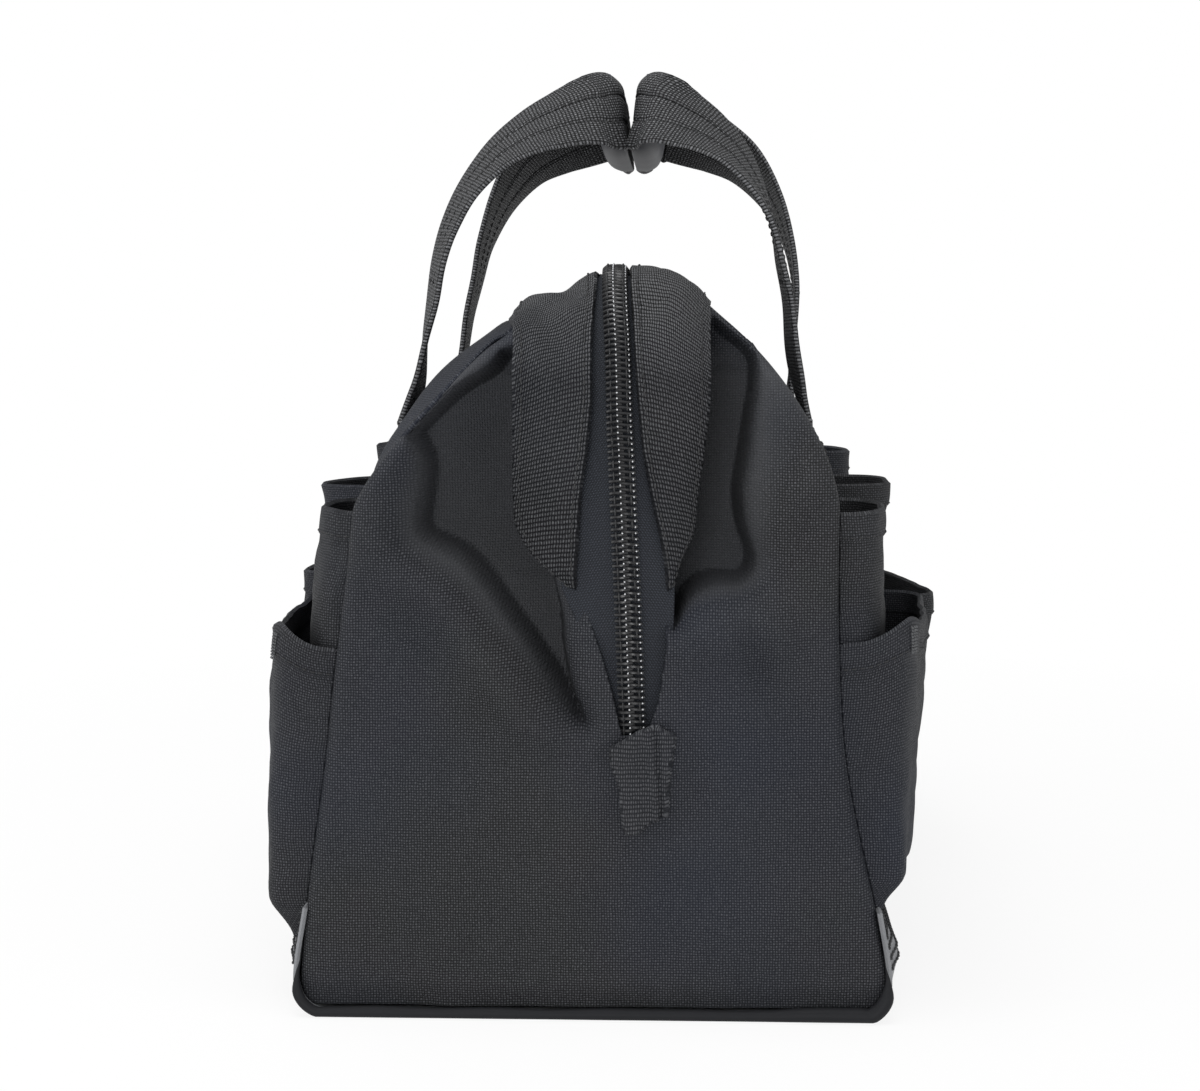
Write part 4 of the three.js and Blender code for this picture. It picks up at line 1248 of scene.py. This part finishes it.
def tab_points(end):
    """The face of a tab: the folded end of a strap, with a ridge down its right half."""
    u = np.linspace(0, 1, 28)[None, :]
    v = np.linspace(0, 1, 40)[:, None]
    left = mix(12.4, 7.3, smooth((v - 0.4) / 0.6))
    right = mix(25.4, 28.6, smooth((v - 0.5) / 0.5))
    foot = mix(68.6, 73.2, u) - 2.4 * hill(u, 0.25, 0.3)
    arc = np.sin(np.pi * np.clip(u * 1.05, 0, 1) / 1.6) ** 1.2
    head = 96.5 + 7.2 * arc - 1.8 * smooth((u - 0.7) / 0.3)
    z = mix(foot, head, v)
    x = mix(left, right, u) - 1.2 * np.sin(math.pi * v) * (1 - 2 * u)
    groove = mix(0.93, 0.7, v)
    ridge = 1.1 * hill(u, groove - 0.12, 0.08) - 1.0 * hill(u, groove, 0.05)
    lift = 3.0 + 1.6 * smooth((v - 0.55) / 0.45) * hill(u, 0.5, 0.35) + ridge
    lift = lift + 0.5 * ripple(x, z, 14, 50)
    depth = end_depth(1, np.maximum(x, zip_x(z) + 0.5), z, END_SEEDS[-1])
    return np.stack(np.broadcast_arrays(x, end * (END_FACE - depth + lift), z), -1)


class BAG_OT_tabs(bpy.types.Operator):
    """The folded webbing tabs over the zipper's feet"""

    bl_idname = "bag.tabs"
    bl_label = "Tabs"

    def execute(self, context):
        for place, end in ENDS.items():
            points = tab_points(end)
            uv = np.stack([points[..., 2] - 70, points[..., 0]], -1) * MM
            face = sheet_parts(points, TAB_THICK, (0, end, 0), uv)
            # The under layer shows along the right and lower edges
            under = points - np.array([0, end * (TAB_THICK + 0.1), 0]) + np.array([0.9, 0, -0.9])
            back = sheet_parts(under, TAB_UNDER, (0, end, 0), uv)
            own(piece(f"tab_{place}", face, back), "tab", (f"zip_tab_{place}",))
        return {"FINISHED"}


# Pockets


Pocket = namedtuple("Pocket", "middle half foot rim out_front out_rear square corner firm")
POCKETS = {
    # node: middle along the bag, half its length, foot, rim, out at front and rear, how square
    # its plan is, how far its outer front corner stands up, share of its depth at the foot
    "pocket_upper_left_front": Pocket(-111, 32, 64, 176, 13, 16, 3.2, 3, 0.28),
    "pocket_upper_left_middle": Pocket(0, 32, 134, 177, 37, 30, 3.6, 0, 0.28),
    "pocket_upper_left_rear": Pocket(110, 32, 64, 189, 37, 20, 3.6, 0, 0.28),
    "pocket_upper_right_front": Pocket(-111, 32, 64, 176, 17.5, 18, 3.2, 1, 0.28),
    "pocket_upper_right_middle": Pocket(0, 32, 134, 178, 31, 30, 3.4, 0, 0.28),
    "pocket_upper_right_rear": Pocket(110, 32, 64, 186, 26, 20, 3.2, 0, 0.28),
    "pocket_lower_left_front": Pocket(-74.5, 71, 25, 127.5, 24, 36, 8, 14, 0.42),
    "pocket_lower_left_rear": Pocket(74, 70, 31, 136, 47, 28, 9, 0, 0.3),
    "pocket_lower_right_front": Pocket(-74.5, 71, 37, 130, 27.5, 37, 8, 14, 0.2),
    "pocket_lower_right_rear": Pocket(74, 70, 33, 127, 47, 28, 9, 0, 0.3),
}
POCKET_COLUMNS = 150


def pocket_line(side, rise, pocket):
    """The pocket's outer line at a share of its height, from wall to wall."""
    turn = np.linspace(0, math.pi, 400)
    swing = np.sin(turn) ** (2 / pocket.square)
    run = -np.sign(np.cos(turn)) * np.abs(np.cos(turn)) ** (2 / pocket.square)
    to_rear = (1 + run) / 2
    # It swells at once over its foot, then stands nearly straight
    swell = mix(0.4, 1, smooth(rise / 0.12)) * mix(pocket.firm, 1, rise ** 0.47)
    out = mix(pocket.out_front, pocket.out_rear, to_rear) * swell * swing
    lift = pocket.corner * (1 - to_rear) ** 6 * swing ** 2.2 * rise ** 3
    line = resample(np.stack([pocket.middle + pocket.half * run, out, lift], -1), POCKET_COLUMNS)
    y, out, lift = line[:, 0], np.maximum(line[:, 1], 0), line[:, 2]
    z = mix(pocket.foot, pocket.rim, rise) + lift
    return np.stack([wall_x(side, y, z) + side * (0.6 + out), y, z], -1)


def side_normals(points, side):
    """Normals of a grid that faces one side of the bag."""
    out = grid_normals(points)
    return out * np.sign(np.sum(out[..., 0]) * side)


def open_pocket(side, pocket, order, cloth, hem):
    """A pocket's sheet, and the line of its hem's stitches with its normals."""
    tall = pocket.rim - pocket.foot
    shares = np.unique(np.concatenate([
        (1 - hem / tall) * np.linspace(0, 1, 44) ** 1.5,
        [1 - (hem - 0.7) / tall],
        np.linspace(1 - (hem - 1.4) / tall, 1, 8)]))
    points = np.stack([pocket_line(side, share, pocket) for share in shares])
    height = (shares * tall)[:, None]
    hemmed = tall - height < hem - 0.3
    out = side_normals(points, side)
    along_rim = np.linspace(0, 1, POCKET_COLUMNS)
    calm = smooth(height / 12) * (smooth(along_rim / 0.06) * smooth((1 - along_rim) / 0.06))
    wave = (1.1 * ripple(points[..., 1], points[..., 2], 48, 60 + order)
            + 0.4 * ripple(points[..., 1], points[..., 2], 19, 80 + order)) * calm
    # The hem's doubled cloth stands out a little
    points = points + out * (wave + np.where(hemmed, 0.55, 0))[..., None]
    thick = np.where(hemmed, cloth + 1.0, cloth) + 0 * wave
    row = int(np.argmax(hemmed[:, 0])) + 1
    return sheet_parts(points, thick, (side, 0, 0)), (points[row], out[row])


def corner_runs(side, pocket):
    """Three short runs down the outer front corner of a pocket's rim."""
    lines = np.stack([pocket_line(side, rise, pocket) for rise in np.linspace(0.9, 0.985, 14)])
    front = lines[-1, :POCKET_COLUMNS // 2]
    corner = int(np.argmax(side * front[:, 0] - 0.7 * front[:, 1]))
    out = side_normals(lines, side)
    return [(lines[:, column] + out[:, column] * 1.3, out[:, column])
            for column in (corner - 1, corner, corner + 1)]


class BAG_OT_pockets(bpy.types.Operator):
    """The ten open pockets with their hems and stitching"""

    bl_idname = "bag.pockets"
    bl_label = "Pockets"

    def execute(self, context):
        sizes = context.scene.bag_sizes
        for order, (node, pocket) in enumerate(POCKETS.items()):
            side = -1 if "left" in node else 1
            part, run = open_pocket(side, pocket, order, sizes.cloth / MM, sizes.hem / MM)
            own(piece(node.replace("pocket", "pouch"), part), "cloth", (node,))
            own(piece(node.replace("pocket", "hem_stitches"), *stitches([run], 2.9, 2.0, 0.24, 0.05)),
                "thread")
        # Reinforcing stitches at the corners of the lower rims
        for name, side in SIDES.items():
            runs = corner_runs(side, POCKETS[f"pocket_lower_{name}_front"])
            own(piece(f"bartack_{name}", *stitches(runs, 1.1, 1.0, 0.32, 0.2)), "tack")
        return {"FINISHED"}


# Handles


LOOP_ROWS = (
    # share out to the hinge, along the bag, height share, twist in degrees, lean outwards
    (1, 55, 0, 0, 0), (0.965, 55, 0.08, 1, 0), (0.93, 55.5, 0.18, 3, 0), (0.885, 56, 0.37, 8, 0),
    (0.84, 57, 0.51, 10, 0), (0.79, 57, 0.62, 13, 0), (0.70, 57, 0.73, 18, 0),
    (0.56, 56, 0.838, 27, 0), (0.40, 55, 0.908, 37, 0), (0.24, 54, 0.952, 48, 0.035),
    (0.13, 52, 0.974, 61, 0.065), (0.06, 48, 0.982, 75, 0.08), (0.015, 41, 0.995, 87, 0.08),
    (0, 30, 1.0, 90, 0.08), (0, 14, 1.0, 90, 0.08),
)
# The grips lean outwards as the last rows do
GRIP_LEAN = 0.08
# The loops' rows of stitches lie at the width over this on both sides of the middle, and the
# anchors' rows this far inside the webbing's edges
LOOP_ROW = 6.2
ANCHOR_SEAM = 3
STITCH_CLEAR = 0.1
# Where the grips meet across the bag, from there to each strap's face, and from the loop's top
# down to the grip's middle
GRIPS_X = 9
GRIP_GAP = 2.3
GRIP_DROP = 14.4
# Heights of the rows of stitches across an anchor, which hold it where it comes free
ANCHOR_ROWS = (196, 200)
# How far the near and far legs are turned, in degrees, and how far the far leg bows outwards
LEG_TURNS = {-1: (6, -11), 1: (-9, -11)}
LEG_BOW = {-1: 0, 1: 13}
# The grip's pad: half its length, and its section out from the strap's middle and up along it,
# wrapped under the strap's lower edge
PAD_REACH = 41
PAD_SECTION = (
    (-1.0, -16.2), (-1.2, -17.6), (1.2, -18.0), (5, -17.8), (9.2, -15.4), (11, -8), (11, 4), (9.6, 11),
    (7.2, 15), (5.6, 13), (1.9, 7), (1.7, -11), (1.4, -15), (0.2, -16.1),
)


def strap_section(width, thick):
    """Points round a strap's section as across and out, with soft edges."""
    run = np.linspace(-0.5, 0.5, 25)
    top = np.stack([run * (width - thick), 0.5 * thick + 0 * run], -1)
    turn = np.linspace(0, math.pi, 6)[1:-1]
    right = np.stack([0.5 * (width - thick) + 0.5 * thick * np.sin(turn),
                      0.5 * thick * np.cos(turn)], -1)
    return np.concatenate([top, right, -top, -right])


def strap_rings(places, across, width, thick, groove=None, cup=None):
    """A strap swept along places: across gives its width direction at each, groove how deep its
    two rows of stitches sink, and cup how much of its width shows."""
    tangent = unit(np.gradient(places, axis=0))
    across = unit(across - tangent * np.sum(across * tangent, -1, keepdims=True))
    out = np.cross(across, tangent)
    section = strap_section(width, thick)
    offset = np.broadcast_to(section[None, :, 1], (len(places), len(section))).copy()
    if groove is not None:
        face = np.sign(section[:, 1])
        dent = hill(section[:, 0], width / LOOP_ROW, 0.9) + hill(section[:, 0], -width / LOOP_ROW, 0.9)
        puff = np.cos(np.clip(np.abs(section[:, 0]) / (width * 0.5), 0, 1) * math.pi / 2)
        offset += face[None] * groove[:, None] * (0.5 * puff - 0.8 * dent)[None]
    wide = section[None, :, 0] * (np.ones(len(places)) if cup is None else cup)[:, None]
    rings = places[:, None] + across[:, None] * wide[..., None] + out[:, None] * offset[..., None]
    return rings, section[:, 0], across, out


def loop_path(side, hinge_x, grip_x, grip_z):
    """Stations of a handle from its front foot to its rear foot: place, twist, lean outwards."""
    near, far = LEG_TURNS[side]
    front, rear = [], []
    for share, y, height, twist, outwards in LOOP_ROWS:
        x = mix(grip_x, hinge_x, share)
        z = mix(HINGE_Z + 0.2, grip_z, height)
        turned = smooth((0.97 - height) / 0.4) * smooth(height / 0.3)
        bow = LEG_BOW[side] * math.sin(math.pi * height ** 1.3) ** 0.8
        # The far leg stands higher near the grip
        rise = 8.5 * smooth((height - 0.5) / 0.36) * smooth(share / 0.14)
        front.append((x, -y, z, twist + near * turned, outwards))
        rear.append((x + bow, y, z + rise, 180 - twist - far * turned, outwards))
    return spline(front + rear[::-1], 260)


def add_loop(name, side, hinge_x, grip_x, grip_z, width, thick):
    """The free loop of a handle with its two rows of stitches."""
    path = loop_path(side, hinge_x, grip_x, grip_z)
    places = path[:, :3]
    twist = np.radians(path[:, 3])
    # The strap turns about its own run, from edge on at the sides to upright at the grip
    run = np.abs(unit(np.gradient(places, axis=0)))
    up = unit(np.stack([side * run[:, 2], 0 * twist, run[:, 0] + run[:, 1]], -1))
    across = np.cos(twist)[:, None] * (0.0, 1.0, 0.0) + np.sin(twist)[:, None] * up
    across[:, 0] += side * path[:, 4]
    groove = smooth((places[:, 2] - 296) / 22)
    # The webbing is cupped along the grip, so it stands less high there
    held = smooth(path[:, 4] / GRIP_LEAN)
    rings, over, across, out = strap_rings(places, across, width, thick, groove, 1 - 0.07 * held)
    curl = 4.5 * np.clip((over - width / 2 + 10) / 10, 0, 1) ** 2
    rings[..., 0] += side * held[:, None] * curl
    rings[..., 2] -= 0.5 * held[:, None] * curl
    wave = 0.25 * ripple(places[:, 1], places[:, 2], 22, 90)
    rings = rings + wave[:, None, None] * out[:, None]
    own(piece(f"loop_{name}", tube_parts(rings, over)), "strap",
        (f"handle_strap_{name}",), bend=(f"mouth_{name}", f"handle_{name}", HANDLE_FROM, HANDLE_TO))
    runs = []
    for spot in (-width / LOOP_ROW, width / LOOP_ROW):
        for face in (-1, 1):
            row = places + across * spot + out * face * (thick / 2 + STITCH_CLEAR)
            runs.append((row[30:-30], out[30:-30] * face))
    own(piece(f"loop_stitches_{name}", *stitches(runs, 3.2, 2.2, 0.28, 0)), "thread",
        body=f"handle_{name}")


def add_grip(name, side, grip_x, grip_z):
    """The smooth pad outside the grip, wrapped under the strap and thinner at its ends."""
    y = np.linspace(-PAD_REACH, PAD_REACH, 90)
    section = spline(PAD_SECTION + PAD_SECTION[:1], 64)[:-1]
    full = np.sqrt(np.clip(1 - (np.abs(y) / (PAD_REACH + 0.5)) ** 4, 0.01, 1))[:, None]
    away = 1.7 + (section[:, 0] - 1.7) * np.where(section[:, 0] > 1.7, full, 1)
    rise = section[:, 1] * np.where(np.abs(section[:, 1]) > 10, mix(0.84, 1, full), 1)
    x = grip_x + side * (away + rise * GRIP_LEAN)
    rings = np.stack(np.broadcast_arrays(x, y[:, None], grip_z + rise), -1)
    own(piece(f"grip_{name}", tube_parts(rings, section[:, 1])), "grip",
        (f"grip_pad_{name}",), body=f"handle_{name}")


def add_anchor(name, side, place, end, hinge_x, width, thick):
    """The webbing sewn to the side between the pockets, up to the handle's fold."""
    z = np.concatenate([np.linspace(60, SHOULDER_Z, 60), np.linspace(179, HINGE_Z + 1, 20)])
    y = end * LOOP_ROWS[0][1] + 0 * z
    x = mix(outline_x(side, y, z) + side * (thick / 2 + 0.5), hinge_x, smooth((z - 196) / 9))
    places = np.stack([x, y, z], -1)
    across = np.broadcast_to((0.0, 1.0, 0.0), places.shape)
    rings, over, across, out = strap_rings(places, across, width, thick)
    own(piece(f"anchor_{name}_{place}", tube_parts(rings, over)), "strap",
        (f"strap_base_{name}_{place}", f"strap_root_{name}_{place}"), bend=fold_bend(name))
    out = out * np.sign(out[10, 0]) * side
    over_cloth = places + out * (thick / 2 + STITCH_CLEAR)
    spots = np.linspace(-width / 2 + ANCHOR_SEAM, width / 2 - ANCHOR_SEAM, 12)
    runs = [(over_cloth + across * spot, out) for spot in (spots[0], spots[-1])]
    for level in ANCHOR_ROWS:
        k = int(np.argmin(np.abs(z - level)))
        row = over_cloth[k] + across[k] * spots[:, None]
        runs.append((row, np.broadcast_to(out[k], row.shape)))
    own(piece(f"anchor_stitches_{name}_{place}", *stitches(runs, 3.2, 2.2, 0.28)), "thread",
        bend=fold_bend(name))


class BAG_OT_handles(bpy.types.Operator):
    """Both handles: webbing sewn to the sides, the free loops and their grips"""

    bl_idname = "bag.handles"
    bl_label = "Handles"

    def execute(self, context):
        sizes = context.scene.bag_sizes
        width, thick = sizes.strap / MM, sizes.webbing / MM
        for name, side in SIDES.items():
            hinge_x = JOINTS[f"handle_{name}_fold"]["pos_m"][0] / MM
            grip_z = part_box(f"handle_strap_{name}")[1][2] / MM - GRIP_DROP
            grip_x = GRIPS_X + side * (GRIP_GAP + thick / 2)
            add_loop(name, side, hinge_x, grip_x, grip_z, width, thick)
            add_grip(name, side, grip_x, grip_z)
            for place, end in ENDS.items():
                add_anchor(name, side, place, end, hinge_x, width, thick)
        return {"FINISHED"}


# Base


BASE_TOP = 37.5
BASE_ROWS = 6
VINYL_THICK = 1.8
# The shell stops this far inside the face of an end, and the piping runs as far outside it
SHELL_GAP = 1.6


def base_line(count, inset_by=0.0, flare=0.8):
    """The base's cross section from the top of one band round under the bag to the other."""
    z = np.linspace(BASE_TOP, BASE_CORNER, 24)
    x = half_width(z) + flare * smooth((z - 4) / 14) - inset_by
    turn = np.linspace(0, math.pi / 2, 14)[1:]
    centre = x[-1] + inset_by - BASE_CORNER
    radius = BASE_CORNER - inset_by
    arc = np.stack([centre + radius * np.cos(turn), BASE_CORNER - radius * np.sin(turn)], -1)
    right = np.concatenate([np.stack([x, z], -1), arc])
    line = np.concatenate([right * (-1, 1), right[::-1]])
    return resample(np.stack([line[:, 0], 0 * line[:, 0], line[:, 1]], -1), count)


def add_shell():
    """The vinyl channel with rows of stitches up each band."""
    reach = END_FACE - SHELL_GAP
    line = base_line(150)
    y = np.linspace(-reach, reach, 90)
    points = line[None] + np.stack([0 * y, y, 0 * y], -1)[:, None]
    level = points[..., 2]
    lift = smooth((level - 2) / 10)
    belly = 4.5 * hill(level, 19, 9) * smooth((reach - np.abs(points[..., 1])) / 18)
    wave = 0.35 * lift * ripple(points[..., 1], level, 40, 7)
    points[..., 0] += np.sign(points[..., 0]) * (belly + wave)
    own(piece("base_vinyl", sheet_parts(points, VINYL_THICK, (0, 0, -1))), "vinyl",
        ("base_shell",))
    runs = []
    for side in (-1, 1):
        for row in range(BASE_ROWS):
            height = BASE_TOP - 2.5 - 3.5 * row
            k = np.argmin(np.abs(line[:, 2] - height) + 100 * (np.sign(line[:, 0]) != side))
            path = points[:, k]
            runs.append((path, np.broadcast_to((side * 1.0, 0, 0), path.shape)))
    own(piece("base_stitches", *stitches(runs, 3.3, 2.7, 0.5, 0.1)), "thread")


def add_edging(place, end):
    """The piping round the foot of an end, fuller under the right corner, resting on the floor."""
    path = base_line(220, 0.8, 0.4)
    path[:, 1] = end * (END_FACE + SHELL_GAP - 4.2 * smooth((path[:, 2] - 9) / 8))
    path = relax(path, 9)
    along_y = np.broadcast_to((0.0, 1.0, 0.0), path.shape)
    out = np.cross(unit(np.gradient(path, axis=0)), along_y)
    fat = 1.9 + 0.7 * smooth((path[:, 0] - 60) / 25) + 0.15 * ripple(path[:, 0], path[:, 2], 30, 5)
    fat = mix(fat, 0.7, smooth((path[:, 2] - 8) / 8))
    rings = path[:, None] + circles(along_y, out, 14) * fat[:, None, None]
    rings[..., 2] -= np.minimum(rings[..., 2].min(1), 0)[:, None]
    across = np.arange(14) / 14 * 4 * math.pi
    own(piece(f"edging_{place}", tube_parts(rings, across)), "piping", (f"piping_{place}",))


class BAG_OT_base(bpy.types.Operator):
    """The vinyl base with its rows of stitching, its piping and the board inside"""

    bl_idname = "bag.base"
    bl_label = "Base"

    def execute(self, context):
        add_shell()
        for place, end in ENDS.items():
            add_edging(place, end)
        # These solids are shown as they are
        for node, look in (("base_board", "board"), ("zip_slider", "metal"), ("zip_pull", "metal")):
            dress(frame["nodes"][node], looks[look])
        return {"FINISHED"}


OPERATORS = (BAG_OT_stage, BAG_OT_ends, BAG_OT_walls, BAG_OT_bands, BAG_OT_zipper, BAG_OT_tabs,
             BAG_OT_pockets, BAG_OT_handles, BAG_OT_base)


class BAG_PT_panel(bpy.types.Panel):
    """Lists the bag's sizes, colours and pieces"""

    bl_label = "Tool bag"
    bl_idname = "BAG_PT_panel"
    bl_space_type = "VIEW_3D"
    bl_region_type = "UI"
    bl_category = "Tool bag"

    def draw(self, context):
        for group in (context.scene.bag_sizes, context.scene.bag_colours):
            box = self.layout.box()
            for key in group.__annotations__:
                box.prop(group, key)
        for operator in OPERATORS:
            self.layout.operator(operator.bl_idname)


CLASSES = (BagSizes, BagColours, *OPERATORS, BAG_PT_panel)


def register():
    for cls in CLASSES:
        bpy.utils.register_class(cls)
    bpy.types.Scene.bag_sizes = PointerProperty(type=BagSizes)
    bpy.types.Scene.bag_colours = PointerProperty(type=BagColours)


def unregister():
    del bpy.types.Scene.bag_sizes
    del bpy.types.Scene.bag_colours
    for cls in reversed(CLASSES):
        bpy.utils.unregister_class(cls)


def main():
    register()
    scene = bpy.context.scene
    make_looks(scene.bag_sizes, scene.bag_colours)
    for operator in OPERATORS:
        group, name = operator.bl_idname.split(".")
        getattr(getattr(bpy.ops, group), name)()


if __name__ == "__main__":
    main()
